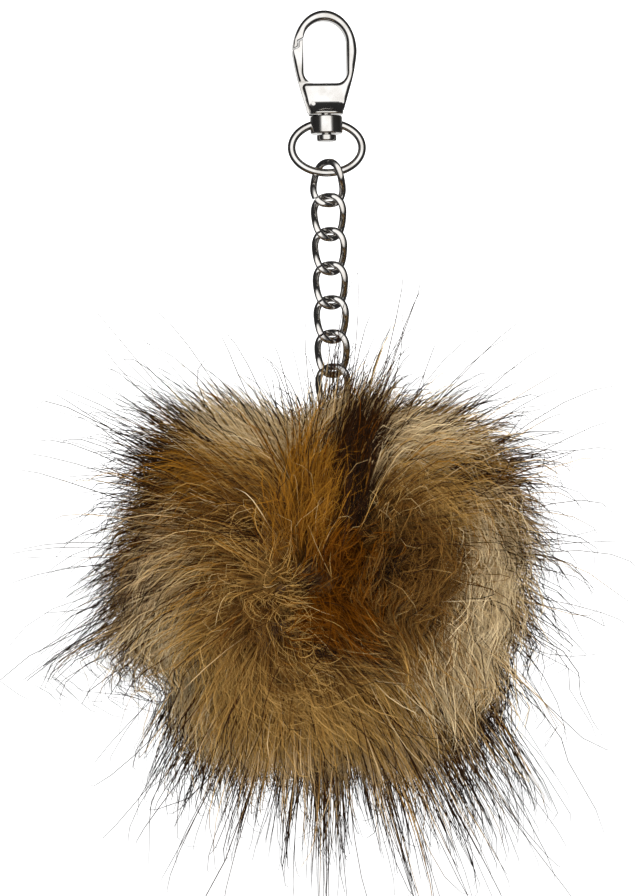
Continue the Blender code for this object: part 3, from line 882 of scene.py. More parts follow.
def makeLoop(look):
    # a twisted cord through the last link, both ends down in the fur
    radius = chain["wire"] / 2 + loop["gap"] + loop["wire"] / 2
    endZ = chain["firstZ"] - chain["pitch"] * (chain["count"] - 1) - (chain["length"] - chain["wire"]) / 2
    across = Vector((-chain["twist"], 1.0, 0.0)).normalized()
    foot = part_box("hanging_loop")[0].z - endZ
    path = [(radius, foot * (1 - part)) for part in spaced(0.0, 1.0, 12)[:-1]]
    path += arc((0.0, 0.0), (radius, radius), 0.0, 180.0, 20)
    path += [(-radius, foot * part) for part in spaced(0.0, 1.0, 12)[1:]]
    middle = [Vector((0.0, 0.0, endZ)) + across * reach + Vector((0.0, 0.0, rise)) for reach, rise in path]
    form = bmesh.new()
    parts = []
    outward = across.cross(Vector((0.0, 0.0, 1.0)))
    walked = [0.0]
    for here, after in zip(middle, middle[1:]):
        walked.append(walked[-1] + (after - here).length)
    for ply in range(loop["ply"]):
        line = []
        for number, here in enumerate(middle):
            before = middle[max(0, number - 1)]
            after = middle[min(len(middle) - 1, number + 1)]
            along = (after - before).normalized()
            beside = along.cross(outward)
            angle = math.tau * (ply / loop["ply"] + walked[number] / mm * loop["turnsPerMm"])
            swing = outward * math.cos(angle) + beside * math.sin(angle)
            line.append(here + swing * loop["wire"] * loop["plyOut"])
        parts.append(tube("ply", line, loop["wire"] * loop["plyRadius"], loop["plySides"], False))
    for part in parts:
        form.from_mesh(part.data)
        bpy.data.objects.remove(part)
    cord = meshObject("hangingCord", form)
    cord.data.shade_smooth()
    cord.data.materials.append(look)
    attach(cord, "pendant")
    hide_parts("hanging_loop")


# ---- fur: its form

furForm = {
    "halfDeep": 46.0 * mm,             # from the ball's middle to the front of the dense fur
    "halfSize": 50.0 * mm,             # its rough half size, which the sizes of patches are shares of
    "squareness": 2.4,
    "rise": 1.7,                       # hairs stand up off the skin first, then lie over,
    "middleRise": 3.6,                 # flatter in the middle of the front and back
    "rimPower": 3,                     # the higher, the narrower the rim round that middle
    "early": 0.4,                      # share of their travel that hairs make near the root
    "rootDepth": 0.8 * mm,
    "uneven": 0.03,
    "unevenTurns": 4.3,
    "unevenStart": 2.0,
    "plainTuft": 0.05,                 # how much further the longest hairs go where there is no tuft
    "limits": (76 * mm, 66 * mm, 61 * mm, 82 * mm),     # no hair goes further left, right, deep or down
}

# Edge of the dense fur as the camera sees it: degrees round from the right, mm from the ball's middle
Edge = namedtuple("Edge", "turn reach")
edges = [Edge(*row) for row in (
    (0, 48), (14, 51), (30, 55), (42, 57), (52, 54), (60, 50), (67, 50), (73, 53), (79, 51), (85, 46),
    (92, 44), (104, 44), (112, 49), (120, 53), (128, 58), (138, 60), (145, 56), (151, 55), (158, 53),
    (167, 53), (175, 54), (184, 54), (192, 55), (198, 51), (205, 43), (212, 43), (220, 48), (229, 49),
    (240, 49), (247, 48), (252, 45), (260, 45), (270, 46), (276, 43), (283, 46), (294, 49), (301, 48),
    (306, 46), (312, 48), (319, 46), (330, 47), (342, 43), (348, 49),
)]

# Tufts that stand out past that edge: where round it, how wide, how much further (as a share)
Tuft = namedtuple("Tuft", "turn wide further")
tufts = [Tuft(*row) for row in (
    (144, 5, 0.3), (157, 4, 0.12), (132, 5, 0.1), (87, 5, 0.3), (73, 5, 0.12), (40, 6, 0.08), (29, 5, 0.12),
    (8, 6, 0.1), (184, 5, 0.14), (194, 5, 0.34), (204, 4, 0.26), (217, 4, 0.16), (227, 5, 0.28),
    (236, 4, 0.28), (247, 6, 0.32), (259, 5, 0.48), (269, 5, 0.7), (284, 6, 0.66), (296, 7, 0.58),
    (306, 6, 0.52), (316, 5, 0.4), (328, 5, 0.2), (343, 5, 0.28), (356, 5, 0.12),
)]

# Hollows and swells that the camera sees: mm right of and above the ball's middle, how wide,
# how far the fur rises there (as a share of its reach)
Swell = namedtuple("Swell", "across up spread rise")
swells = [Swell(*row) for row in (
    (-22, 17, 3.5, -0.22), (-19, -15, 4, -0.18), (-3, 4, 4, -0.2), (19, 7, 4, -0.24), (13, 3, 3.5, -0.18),
    (16, -7, 4, -0.18), (23, -10, 4, -0.18), (30, -1, 3.5, -0.14), (2, -19, 4, -0.14), (11, -20, 4, -0.12),
    (-2, -12, 6, 0.05), (9, -13, 5, 0.05), (10, 27, 5, -0.1), (9, 16, 4, -0.08), (-40, 34, 8, -0.06),
    (-30, -9, 8, 0.05), (-25, 33, 10, 0.04), (24, 38, 9, 0.05), (-19, -31, 14, 0.03), (32, -17, 12, 0.03),
    (-38, 22, 5, -0.06), (-16, 28, 4, -0.06), (0, 28, 7, 0.05), (37, 22, 7, -0.05), (27, -3, 5, -0.06),
)]

pictureAxes = np.array([tuple(axis) for axis in shotAxes()])       # right, towards the camera, up
lumpWaves = np.array(((2.1, 0.6, -1.4), (-1.0, 2.6, 1.1), (1.6, -1.9, 2.4), (-2.8, -0.9, 1.7)))


def frontEdge(direction):
    seen = direction @ pictureAxes.T
    turn = np.degrees(np.arctan2(seen[:, 2], seen[:, 0])) % 360
    reach = np.interp(turn, [edge.turn for edge in edges], [edge.reach for edge in edges], period=360) * mm
    return turn, reach, np.hypot(seen[:, 0], seen[:, 2]), np.abs(seen[:, 1])


def plainReach(direction):
    # how far the dense fur reaches from the ball's middle, without its hollows
    front, level, deep = frontEdge(direction)[1:]
    power = furForm["squareness"]
    return ((level / front) ** power + (deep / furForm["halfDeep"]) ** power) ** (-1 / power)


def seenAt(rows):
    # directions from the ball's middle to what the camera sees at each row's place on the fur
    right, facing, above = pictureAxes
    eye = np.array((shot["lookX"], 0.0, shot["lookZ"])) + facing * shot["distance"]
    across = np.array([row.across for row in rows]) * mm + ball["x"]
    up = np.array([row.up for row in rows]) * mm + ball["z"]
    ray = unit(right * across[:, None] + above * up[:, None] - eye)
    far = ((ballCentre - eye) * ray).sum(1)
    near = far - 2 * furForm["halfSize"]
    for _ in range(30):                # halves the stretch that holds the fur's face
        middle = (near + far) / 2
        offset = eye + ray * middle[:, None] - ballCentre
        outside = np.linalg.norm(offset, axis=1) > plainReach(unit(offset))
        near = np.where(outside, middle, near)
        far = np.where(outside, far, middle)
    return unit(eye + ray * far[:, None] - ballCentre)


def nearness(direction, places, spreads):
    # 1 at each place and less further off, for every direction and place
    return np.exp(-(2 - 2 * direction @ places.T) / spreads ** 2)


def spreadShares(rows):
    return np.array([row.spread for row in rows]) * mm / furForm["halfSize"]


swellAt = seenAt(swells)
swellSpread = spreadShares(swells)
swellRise = np.array([swell.rise for swell in swells])


def furReach(direction):
    waves = np.sin(direction @ lumpWaves.T * furForm["unevenTurns"] + furForm["unevenStart"])
    lumps = waves.sum(1) * furForm["uneven"] / 2
    return plainReach(direction) * (1 + lumps + nearness(direction, swellAt, swellSpread) @ swellRise)


def mostReach(direction):
    left, right, deep, down = furForm["limits"]
    x, y, z = direction.T
    least = 0.01                       # no dividing by nothing
    sides = np.where(x > 0, right, left) / np.maximum(np.abs(x), least)
    depth = deep / np.maximum(np.abs(y), least)
    return np.minimum(np.minimum(sides, depth), down / np.maximum(-z, least))


def tuftReach(direction):
    # how much further the longest hairs of a tuft go there
    turn, _, level, _ = frontEdge(direction)
    further = np.full(len(direction), furForm["plainTuft"])
    for tuft in tufts:
        off = (turn - tuft.turn + 180) % 360 - 180
        further += tuft.further * np.exp(-(off / tuft.wide) ** 2)
    return further * level ** furForm["rimPower"]


# ---- fur: how it is combed

# Each stroke of the comb: where the camera sees it (mm right of and above the ball's middle),
# which way the hair points in the picture (degrees, 0 right, 90 up), over how wide a patch
Stroke = namedtuple("Stroke", "across up way spread")
strokes = [Stroke(*row) for row in (
    (-38, 43, 157, 10), (-46, 37, 170, 10), (-46, 28, 188, 10), (-48, 15, 215, 11), (-51, 4, 225, 11),
    (-48, -10, 245, 11), (-27, 43, 140, 9), (-18, 44, 115, 9), (-5, 44, 100, 8), (-29, 35, 172, 9),
    (-20, 34, 176, 8), (-25, 28, 198, 9), (-35, 31, 175, 9), (-35, 22, 195, 9), (-28, 20, 195, 9),
    (-8, 35, 62, 8), (-4, 25, 62, 9), (-6, 16, 62, 9), (-14, 26, 88, 7), (-13, 16, 78, 7),
    (-36, 8, 215, 10), (-25, 9, 140, 7), (-17, 8, 95, 7), (-9, 6, 60, 8), (14, 44, 52, 8), (7, 43, 55, 7),
    (10, 36, 65, 7), (7, 27, 72, 7), (7, 18, 80, 7), (2, 21, 60, 8), (0, 8, 62, 8), (-20, -3, 255, 8),
    (24, 42, 12, 9), (34, 39, 355, 9), (21, 34, 345, 8), (30, 31, 330, 9), (40, 29, 355, 7),
    (34, 22, 345, 9), (45, 26, 325, 9), (47, 17, 292, 9), (48, 6, 286, 10), (40, 6, 276, 9),
    (17, 20, 225, 8), (24, 15, 285, 8), (30, 11, 300, 8), (11, 8, 262, 7), (17, 6, 240, 8),
    (26, -1, 270, 9), (35, -8, 268, 9), (44, -8, 275, 10), (42, -24, 268, 10), (32, -24, 272, 10),
    (24, -14, 262, 8), (4, -2, 285, 8), (-10, -8, 20, 8), (-5, -13, 0, 8), (5, -15, 350, 8),
    (-14, -15, 345, 7), (-16, -18, 310, 7), (-21, -23, 270, 8), (-27, -18, 245, 8), (-30, -10, 215, 9),
    (-38, -11, 225, 9), (-38, -22, 256, 9), (-33, -29, 255, 9), (-24, -34, 264, 10), (-10, -27, 318, 9),
    (0, -23, 335, 9), (11, -23, 340, 8), (6, -34, 322, 10), (-5, -39, 285, 10), (17, -30, 300, 9),
    (22, -42, 296, 10), (31, -40, 290, 10), (-36, -42, 250, 10), (-22, -48, 266, 10), (-3, -49, 278, 10),
    (-46, -1, 240, 9),
)]

# How far hairs travel over the ball from root to tip, in mm, from the crown (1) to the bottom (-1),
# and which way they lie where nothing has ruffled them
Pile = namedtuple("Pile", "height travel outward down")
pile = (
    Pile(1.0, 12.0, 1.00, 0.00),
    Pile(0.7, 14.0, 0.90, 0.20),
    Pile(0.3, 17.0, 0.40, 0.75),
    Pile(0.0, 19.0, 0.25, 0.90),
    Pile(-0.4, 20.0, 0.15, 1.00),
    Pile(-0.7, 15.0, 0.10, 1.00),
    Pile(-1.0, 4.0, 0.00, 1.00),
)
comb = {
    "plain": 0.22,                     # how strongly the coat's own lie shows where strokes are weak
    "swirl": 0.55,
    "swirlTurns": 1.7,
    "swirlStart": 0.8,
    "calm": (1.2, 1.4),                # swirls fade by the second times the height, from the first,
    "calmLimits": (0.15, 1.0),
    "outward": 0.65,                   # how much a hair's outer part rises, as a share of its travel
    "upright": 0.70,                   # least travel where strokes part, as a share
    "tryEvery": 3,                     # degrees between the ways tried for a stroke
    "agreeing": 1.15,                  # strokes that agree this well or better lay hair down fully
    "tangle": 0.9,                     # where they part the hair lies in small whorls
    "whorlTurns": 6.3,
    "whorlStart": 1.1,
    "middleTravel": 0.70,              # hair in the middle of the front and back lies shorter
    "middleMess": 2.7,                 # and in more of a tangle
    "rootMess": 0.4,
}
swirlWays = np.array(((0.8, -0.2, 0.3), (-0.5, 0.7, 0.4), (0.3, 0.6, -0.6), (-0.6, -0.4, 0.5)))


def strokeWays():
    # the way over the fur that looks like the stroke in the picture, once the hair's rise
    # off the skin is added to it
    angles = np.radians(np.arange(0, 360, comb["tryEvery"]))[:, None]
    ways = []
    for stroke, outward in zip(strokes, strokeAt):
        first = unit(np.cross(outward, pictureAxes[2]))
        second = np.cross(outward, first)
        tried = first * np.cos(angles) + second * np.sin(angles)
        seen = (tried + outward * comb["outward"]) @ pictureAxes.T
        wanted = np.array((math.cos(math.radians(stroke.way)), math.sin(math.radians(stroke.way))))
        match = unit(seen[:, ::2]) @ wanted
        ways.append(tried[match.argmax()])
    return np.array(ways)


strokeAt = seenAt(strokes)
strokeWay = strokeWays()
strokeSpread = spreadShares(strokes)


def fromPile(height, column):
    heights = [row.height for row in reversed(pile)]
    values = [getattr(row, column) for row in reversed(pile)]
    return np.interp(height, heights, values)


def combed(direction):
    # which way hair lies, for directions from the ball's middle; shorter where strokes part,
    # because hair stands up there
    near = nearness(direction, strokeAt, strokeSpread)
    way = near @ strokeWay
    plain = direction * np.array((1.0, 1.0, 0.0)) * fromPile(direction[:, 2], "outward")[:, None]
    plain[:, 2] -= fromPile(direction[:, 2], "down")
    swirl = np.sin(direction @ lumpWaves.T * comb["swirlTurns"] + comb["swirlStart"]) @ swirlWays
    calm = np.clip(comb["calm"][0] - comb["calm"][1] * np.abs(direction[:, 2:3]), *comb["calmLimits"])
    way = way + (plain + swirl * comb["swirl"] * calm) * comb["plain"]
    agreed = np.linalg.norm(way, axis=1) / (near.sum(1) + comb["plain"]) * comb["agreeing"]
    agreed = np.clip(agreed, 0.0, 1.0)
    whorls = np.sin(direction @ lumpWaves[::-1].T * comb["whorlTurns"] + comb["whorlStart"]) @ swirlWays
    way = unit(way) + whorls * (comb["tangle"] * (1.0 - agreed))[:, None]
    return unit(way), np.maximum(agreed, comb["upright"])


# ---- fur: its colours

# Every tone runs from the root of a hair to its tip; the dark roots of the lighter tones are partly the
# hair's own colour and partly painted shade, the shade deep in the coat between the locks
tones = {
    "cream": ((0.0, (146, 116, 74)), (0.35, (200, 170, 122)), (0.8, (240, 214, 168)), (1.0, (248, 228, 188))),
    "gold": ((0.0, (106, 70, 28)), (0.3, (152, 112, 54)), (0.75, (188, 148, 84)), (1.0, (198, 162, 100))),
    "ochre": ((0.0, (64, 34, 4)), (0.3, (126, 80, 20)), (0.8, (162, 110, 34)), (1.0, (172, 124, 48))),
    "brown": ((0.0, (48, 26, 6)), (0.35, (96, 62, 22)), (0.8, (132, 94, 44)), (1.0, (148, 112, 60))),
    "amber": ((0.0, (40, 18, 0)), (0.3, (94, 50, 2)), (0.7, (116, 66, 4)), (1.0, (84, 48, 6))),
    "sable": ((0.0, (70, 40, 12)), (0.28, (56, 30, 9)), (0.6, (32, 20, 11)), (1.0, (22, 17, 14))),
    "tipped": ((0.0, (110, 80, 42)), (0.44, (214, 180, 130)), (0.62, (130, 104, 72)), (0.76, (38, 30, 26)),
               (1.0, (22, 19, 19))),
    "pale": ((0.0, (104, 76, 36)), (0.4, (184, 148, 92)), (1.0, (222, 192, 140))),
}
toneNames = list(tones)
toneNumber = {name: number for number, name in enumerate(toneNames)}
hairLook = {
    "gain": 0.76,
    "rough": 0.5,
    "gloss": 0.06,
    "span": (0.25, 0.75),              # what the noises below run between
    "shiftScale": 900.0,
    "shift": (-0.12, 0.12),
    "levelScale": 1400.0,
    "levels": (0.74, 1.24),
}

# Where each tone grows, on the front and on the back: mm right of and above the ball's middle,
# over how wide a patch, how strongly. The small dark patches on the hollows of the swells table and
# along the fold just below the middle, and the brown patches beside those hollows, are painted shade.
Patch = namedtuple("Patch", "across up spread weight")
frontPatches = {
    "sable": (
        # painted shade: (-22, 17), and the rows from (19, 7) to (13, -19), darken the hollows and the fold
        # just below the middle
        (-47, 40, 7, 18), (-40, 45, 5, 8), (-54, 36, 8, 18), (-49, 29, 5, 7), (-22, 17, 3, 7),
        (13, 47, 5, 10), (9, 42, 5, 14), (15, 42, 5, 12), (11, 34, 5, 14), (9, 26, 4.5, 10), (8, 19, 4, 5),
        (4, 36, 4, 5), (41, 29, 3.5, 5), (47, 27, 4, 5), (19, 7, 3.5, 8), (14, 3, 3.5, 7), (30, -1, 3, 5),
        (-3, 4, 3, 6), (16, -7, 3.5, 5), (23, -10, 3.5, 5), (-2, -18, 3.5, 6), (5, -18, 4, 7),
        (13, -19, 4, 5),
    ),
    "brown": (
        (-50, 37, 10, 8), (-38, 20, 7, 3), (-20, 28, 8, 4), (-29, 25, 7, 3), (-29, 8, 8, 2),
        # painted shade: (9, 1), (31, 2), (12, 13), (21, -10), (18, 5), (-19, -15) and (23, -15) darken the
        # fur beside its hollows
        (-9, 7, 8, 2.5), (9, 1, 4, 6), (19, 21, 8, 4.5), (31, 2, 6, 6), (12, 13, 4, 5), (30, 6, 8, 3),
        (28, 5, 8, 4), (21, -10, 9, 7), (18, 5, 8, 5), (8, -23, 8, 6), (-10, -25, 8, 4), (-22, -8, 7, 3.5),
        (-19, -15, 4, 6), (-13, -20, 8, 2), (23, -15, 6, 7),
    ),
    "ochre": ((-36, 29, 6, 6), (-6, 35, 8, 4), (-1, 28, 8, 5), (-6, 20, 9, 3.5)),
    "cream": (
        (-21, 42, 8, 4), (-27, 44, 6, 3), (-11, 43, 9, 3.5), (24, 39, 9, 6), (32, 39, 8, 4), (18, 36, 5, 4),
        # partly painted light: these cream rows at the sides and the lower rim are pale hair that also makes
        # the rim lighter than the middle, which lies in shade
        (46, 3, 9, 4), (42, 8, 7, 5), (39, -3, 7, 4), (-45, -12, 7, 7), (-36, -24, 8, 7), (-46, 4, 5, 3),
        (35, -22, 10, 6), (34, -12, 8, 4), (24, -27, 7, 6), (42, -10, 8, 4), (-17, -45, 9, 4),
        (-34, -34, 9, 3),
    ),
    "gold": (
        (-25, 33, 9, 4), (-26, 14, 6, 2.5), (-21, 4, 8, 3.5), (-13, 0, 7, 3), (33, 22, 8, 5),
        (26, 29, 7, 3), (17, 27, 6, 2.5), (-9, 2, 7, 3), (-34, -13, 6, 4), (-9, -13, 7, 2.5),
        (-19, -31, 12, 5), (-30, -25, 8, 3), (-1, -31, 12, 4), (16, -30, 12, 4), (5, -44, 9, 3),
    ),
    "pale": ((-36, 5, 9, 2.5), (20, 26, 7, 2), (22, -9, 8, 1.5)),
    "tipped": (
        (-47, 11, 10, 4), (-50, 0, 9, 4), (-46, -5, 8, 3), (46, 15, 9, 3), (-48, -16, 5, 5),
        (-41, -40, 7, 4), (20, -40, 5, 6), (26, -42, 8, 6),
    ),
    "amber": ((10, 38, 6, 7), (9, 9, 4, 8), (4, 8, 8, 8), (5, -2, 9, 8), (4, -11, 8, 7)),
}
backPatches = {
    "sable": ((-8, 34, 16, 2.5), (18, 16, 12, 3)),
    "ochre": ((-20, 26, 16, 2.4),),
    "gold": ((24, -4, 16, 2), (0, -30, 18, 1.6)),
    "brown": ((-16, -10, 16, 1.6),),
}

# Tones of the whole coat by height, before the patches are laid on
Coat = namedtuple("Coat", "height cream gold ochre brown amber sable tipped pale")
coat = (
    Coat(1.0, 0.9, 0.8, 0.3, 0.1, 0.0, 0.10, 0.05, 0.1),
    Coat(0.7, 0.4, 0.8, 0.7, 0.3, 0.1, 0.10, 0.10, 0.1),
    Coat(0.3, 0.0, 0.4, 0.7, 0.8, 0.4, 0.15, 0.05, 0.3),
    Coat(-0.1, 0.0, 0.4, 0.3, 0.9, 0.5, 0.15, 0.05, 0.3),
    Coat(-0.45, 0.2, 1.6, 0.2, 0.4, 0.1, 0.06, 0.10, 0.2),
    Coat(-0.75, 0.4, 1.6, 0.0, 0.2, 0.0, 0.05, 0.20, 0.0),
    Coat(-1.0, 0.0, 1.0, 0.0, 0.2, 0.0, 0.05, 0.60, 0.0),
)

# How much of the rim has dark tips, by degrees round from the right
rimTips = (
    (0, 0.45), (25, 0.5), (45, 0.2), (75, 0.3), (95, 0.05), (125, 0.1), (160, 0.2), (180, 0.7), (215, 0.8),
    (320, 0.8),
)
darkRim = {
    "start": 0.95,                     # dark tips start at this share of the dense fur's reach,
    "width": 0.08,
    "lowStart": 0.88,                  # and under the ball at this share of its half depth
    "lowWidth": 0.10,
    "weight": 9.0,
}

patches = []
patchTones = []
facingWays = []
for facingWay, growing in ((1, frontPatches), (-1, backPatches)):
    for tone, rows in growing.items():
        patches += [Patch(*row) for row in rows]
        patchTones += [toneNumber[tone]] * len(rows)
        facingWays += [facingWay] * len(rows)
patchAt = seenAt(patches) * np.stack((np.ones(len(patches)), facingWays, np.ones(len(patches))), 1)
patchSpread = spreadShares(patches)
patchWeight = np.zeros((len(patches), len(toneNames)))
patchWeight[np.arange(len(patches)), patchTones] = [patch.weight for patch in patches]


def toneShares(places, tips, power, pale=0.0):
    # how much of each tone grows where hairs show; hairs that end at the rim have dark tips;
    # the higher the power, the more the strongest tone has to itself
    direction = unit(places - ballCentre)
    heights = [row.height for row in reversed(coat)]
    share = np.stack([np.interp(direction[:, 2], heights, [getattr(row, tone) for row in reversed(coat)])
                      for tone in toneNames], 1)
    share = share + nearness(direction, patchAt, patchSpread) @ patchWeight
    tip = tips - ballCentre
    reach = np.linalg.norm(tip, axis=1)
    turn, front, level, _ = frontEdge(unit(tip))
    rim = np.clip((reach * level / front - darkRim["start"]) / darkRim["width"], 0, 1)
    low = np.clip((-tip[:, 2] / furForm["halfDeep"] - darkRim["lowStart"]) / darkRim["lowWidth"], 0, 1)
    rim = np.maximum(rim * np.interp(turn, *zip(*rimTips), period=360), low)
    share[:, toneNumber["tipped"]] += rim * darkRim["weight"]
    share[:, toneNumber["pale"]] += pale
    share = share ** power
    return share / share.sum(1, keepdims=True)


def chooseTones(places, tips, chance, power, pale=0.0):
    share = np.cumsum(toneShares(places, tips, power, pale), 1)
    return (chance.random((len(tips), 1)) > share).sum(1).clip(0, len(toneNames) - 1)


def furTone(name):
    # colour along a hair from the colour map: down the map is root to tip, across it are the hairs
    look, nodes, wires, shader = newLook("fur" + name.capitalize())
    shader.inputs["Roughness"].default_value = hairLook["rough"]
    shader.inputs["Specular IOR Level"].default_value = hairLook["gloss"]
    place = nodes.new("ShaderNodeUVMap")
    place.uv_map = "OFBake"
    split = nodes.new("ShaderNodeSeparateXYZ")
    wires.new(place.outputs["UV"], split.inputs["Vector"])
    # the turn from light to dark comes sooner on some hairs
    sooner = addStrand(nodes, wires, split.outputs["X"], hairLook["shiftScale"])
    along = nodes.new("ShaderNodeMath")
    along.operation = "ADD"
    wires.new(split.outputs["Y"], along.inputs[0])
    wires.new(addRange(nodes, wires, sooner, hairLook["span"], hairLook["shift"]), along.inputs[1])
    stops = [(position, paint(*colour, hairLook["gain"])) for position, colour in tones[name]]
    ramp = addRamp(nodes, wires, along.outputs["Value"], stops)
    # each hair is a little lighter or darker than the next
    lighter = addStrand(nodes, wires, split.outputs["X"], hairLook["levelScale"])
    level = addRange(nodes, wires, lighter, hairLook["span"], hairLook["levels"])
    addLevel(nodes, wires, ramp, level, shader)
    return look


# ---- fur: the wool

wool = {
    "reach": 0.76,                     # how far out the dense wool comes, as a share of the fur's reach
    "shownPart": 0.55,                 # its colour is that of the hairs at this share of their length
    # painted shade: the wool's colour is darkened well below the hairs' gain, for the shade deep in the coat
    "gain": 0.46,
    "inside": 0.9,                     # the rim's dark tips don't reach it
    "rough": 0.9,
    "gloss": 0.05,
    "divisions": 6,
    "mixed": 1.1,
    "lumps": 0.012,
    "lumpTurns": 14.0,
    "fibreScale": 1900.0,
    "fibreDetail": 5.0,
    "span": (0.35, 0.65),
    "levels": (0.35, 1.25),
    "bump": 0.5,
    "depth": 0.3 * mm,
}


def coatColour(places):
    # the mixed colour of the hairs that grow there, darkened by the wool's gain as painted shade deep in the
    # coat
    inner = ballCentre + (places - ballCentre) * wool["inside"]
    mixed = []
    for name in toneNames:
        stops = tones[name]
        positions = [stop[0] for stop in stops]
        mixed.append([np.interp(wool["shownPart"], positions, [stop[1][part] for stop in stops])
                      for part in range(3)])
    linear = np.array([paint(*colour, wool["gain"])[:3] for colour in mixed])
    return toneShares(places, inner, wool["mixed"]) @ linear


def woolLook():
    look, nodes, wires, shader = newLook("denseWool")
    shader.inputs["Roughness"].default_value = wool["rough"]
    shader.inputs["Specular IOR Level"].default_value = wool["gloss"]
    colour = nodes.new("ShaderNodeVertexColor")
    colour.layer_name = "coatColour"
    place = nodes.new("ShaderNodeTexCoord")
    fibre = addNoise(nodes, wires, place.outputs["Object"], wool["fibreScale"], wool["fibreDetail"])
    level = addRange(nodes, wires, fibre, wool["span"], wool["levels"])
    addLevel(nodes, wires, colour.outputs["Color"], level, shader)
    addBump(nodes, wires, fibre, wool["bump"], wool["depth"], shader)
    return look


def lumpyWool(directions):
    lumps = np.sin(directions @ lumpWaves.T * wool["lumpTurns"]).sum(1) * wool["lumps"]
    return furReach(directions) * (wool["reach"] + lumps)


def makeWool(look):
    # the short dense hair that fills the coat between the long hairs, as one soft form, darker than the hairs
    # as painted shade
    made, places = roundForm("denseWool", wool["divisions"], lumpyWool)
    colours = np.ones((len(places), 4))
    colours[:, :3] = coatColour(places)
    layer = made.data.color_attributes.new("coatColour", "FLOAT_COLOR", "POINT")
    layer.data.foreach_set("color", colours.astype(np.float32).ravel())
    made.data.materials.append(look)
    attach(made, "pendant")
    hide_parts("pom_pom")


# ---- fur: the hairs

# A coat is one sort of hair. rings is how many three-sided sections a hair has before its point;
# reach is how far out its tips come, as a share of the dense fur; travel is how far it runs over the
# ball, as a share of the pile's; the lower fewLong, the more hairs are long; dark is the share of
# dark hairs; the higher mixed, the more the strongest tone of a place has to itself.
coats = (
    {"name": "underfur", "hairs": 42000, "pieces": 3, "rings": 2, "width": 0.20 * mm,
     "reach": (0.78, 0.97), "travel": (0.25, 0.6), "messy": 0.30, "clump": 0.45, "wave": 0.5 * mm,
     "fewLong": 4.0, "dark": 0.01, "mixed": 2.0, "tufted": 0.25, "pale": 0.0, "seed": 11},
    {"name": "topfur", "hairs": 15000, "pieces": 2, "rings": 4, "width": 0.15 * mm,
     "reach": (0.90, 1.03), "travel": (0.5, 1.05), "messy": 0.28, "clump": 0.60, "wave": 0.9 * mm,
     "fewLong": 3.0, "dark": 0.04, "mixed": 1.9, "tufted": 0.4, "pale": 0.0, "seed": 23},
    {"name": "guardHairs", "hairs": 3600, "pieces": 1, "rings": 5, "width": 0.24 * mm,
     "reach": (0.94, 1.10), "travel": (0.5, 1.1), "messy": 0.14, "clump": 0.50, "wave": 0.3 * mm,
     "fewLong": 0.7, "dark": 0.85, "mixed": 1.6, "tufted": 1.0, "pale": 0.0, "seed": 37},
    {"name": "strayHairs", "hairs": 540, "pieces": 1, "rings": 6, "width": 0.22 * mm,
     "reach": (1.05, 1.42), "travel": (0.5, 1.3), "messy": 0.50, "clump": 0.0, "wave": 0.8 * mm,
     "fewLong": 1.0, "dark": 1.0, "mixed": 1.6, "tufted": 1.0, "pale": 0.0, "seed": 41},
    {"name": "lightHairs", "hairs": 1500, "pieces": 1, "rings": 4, "width": 0.13 * mm,
     "reach": (0.96, 1.04), "travel": (0.6, 1.2), "messy": 0.5, "clump": 0.3, "wave": 1.0 * mm,
     "fewLong": 4.0, "dark": 0.0, "mixed": 2.0, "tufted": 0.2, "pale": 3.5, "seed": 53},
)
clumps = {
    "count": 1500,
    "seed": 5,
    "jitter": 1.8,
    "steps": 6,
    "travel": (0.8, 1.2),
    "reach": (0.93, 1.04),
    "messy": 0.24,
    "mixed": 1.8,
    "shareTone": 0.2,                  # share of hairs that take their clump's tone
    "calm": 0.55,                      # how much hairs gather at the rim, as a share
    "rimPower": 2,
    "pull": (0.3, 1.25),
    "tipPull": 1.4,
}
hair = {
    "jitter": 1.6,
    "waveTurn": 5.0,
    "middleDark": 0.12,                # share of the dark hairs that also stand in the middle
    "thinning": 0.72,                  # how much thinner a hair is before its point than at its root,
    "thinsLate": 2.2,
    "widths": (0.75, 1.2),             # thinnest and thickest hair, as shares of its coat's width
    "coatShading": 0.45,               # how much a hair is shaded as the coat's face, not as its own
    "shownAt": 0.7,                    # it takes its colour from where this much of its length ends
    "stripHalf": 0.0006,               # half its width on the colour map
    "bandMargin": 0.06,                # what the strips leave free at both sides of a tone's band,
    "endMargin": 0.004,                # and at both ends of the map
}


def growHairs(direction, travel, reach, long, steps, chance, messy, tufted=1.0):
    # walks each hair out from the skin and over the ball, the way it is combed
    way = direction.copy()
    low = skinReach(direction) - furForm["rootDepth"]
    middle = 1 - frontEdge(direction)[2] ** furForm["rimPower"]
    travel = travel * (1 - (1 - comb["middleTravel"]) * middle)
    stray = chance.normal(0, messy, direction.shape) * (1 + (comb["middleMess"] - 1) * middle)[:, None]
    points = []
    power = furForm["rise"] + (furForm["middleRise"] - furForm["rise"]) * middle
    early = furForm["early"]
    for step in range(steps + 1):
        part = step / steps
        rise = 1 - (1 - part) ** power
        radius = low + (furReach(way) * reach * (1 + long * tufted * tuftReach(way)) - low) * rise
        radius = np.minimum(radius, mostReach(way))
        points.append(ballCentre + way * radius[:, None])
        along, share = combed(way)
        along = along + stray * (comb["rootMess"] + part)
        along = unit(along - (along * way).sum(1, keepdims=True) * way)
        going = early + 2 * (1 - early) * (part + 0.5 / steps)
        way = unit(way + along * (travel * going * share / steps / radius)[:, None])
    return np.stack(points, 1)


def pointsAlong(points, part):
    # every hair's point at this share of its length
    last = points.shape[1] - 1
    low = min(int(part * last), last - 1)
    return points[:, low] + (points[:, low + 1] - points[:, low]) * (part * last - low)


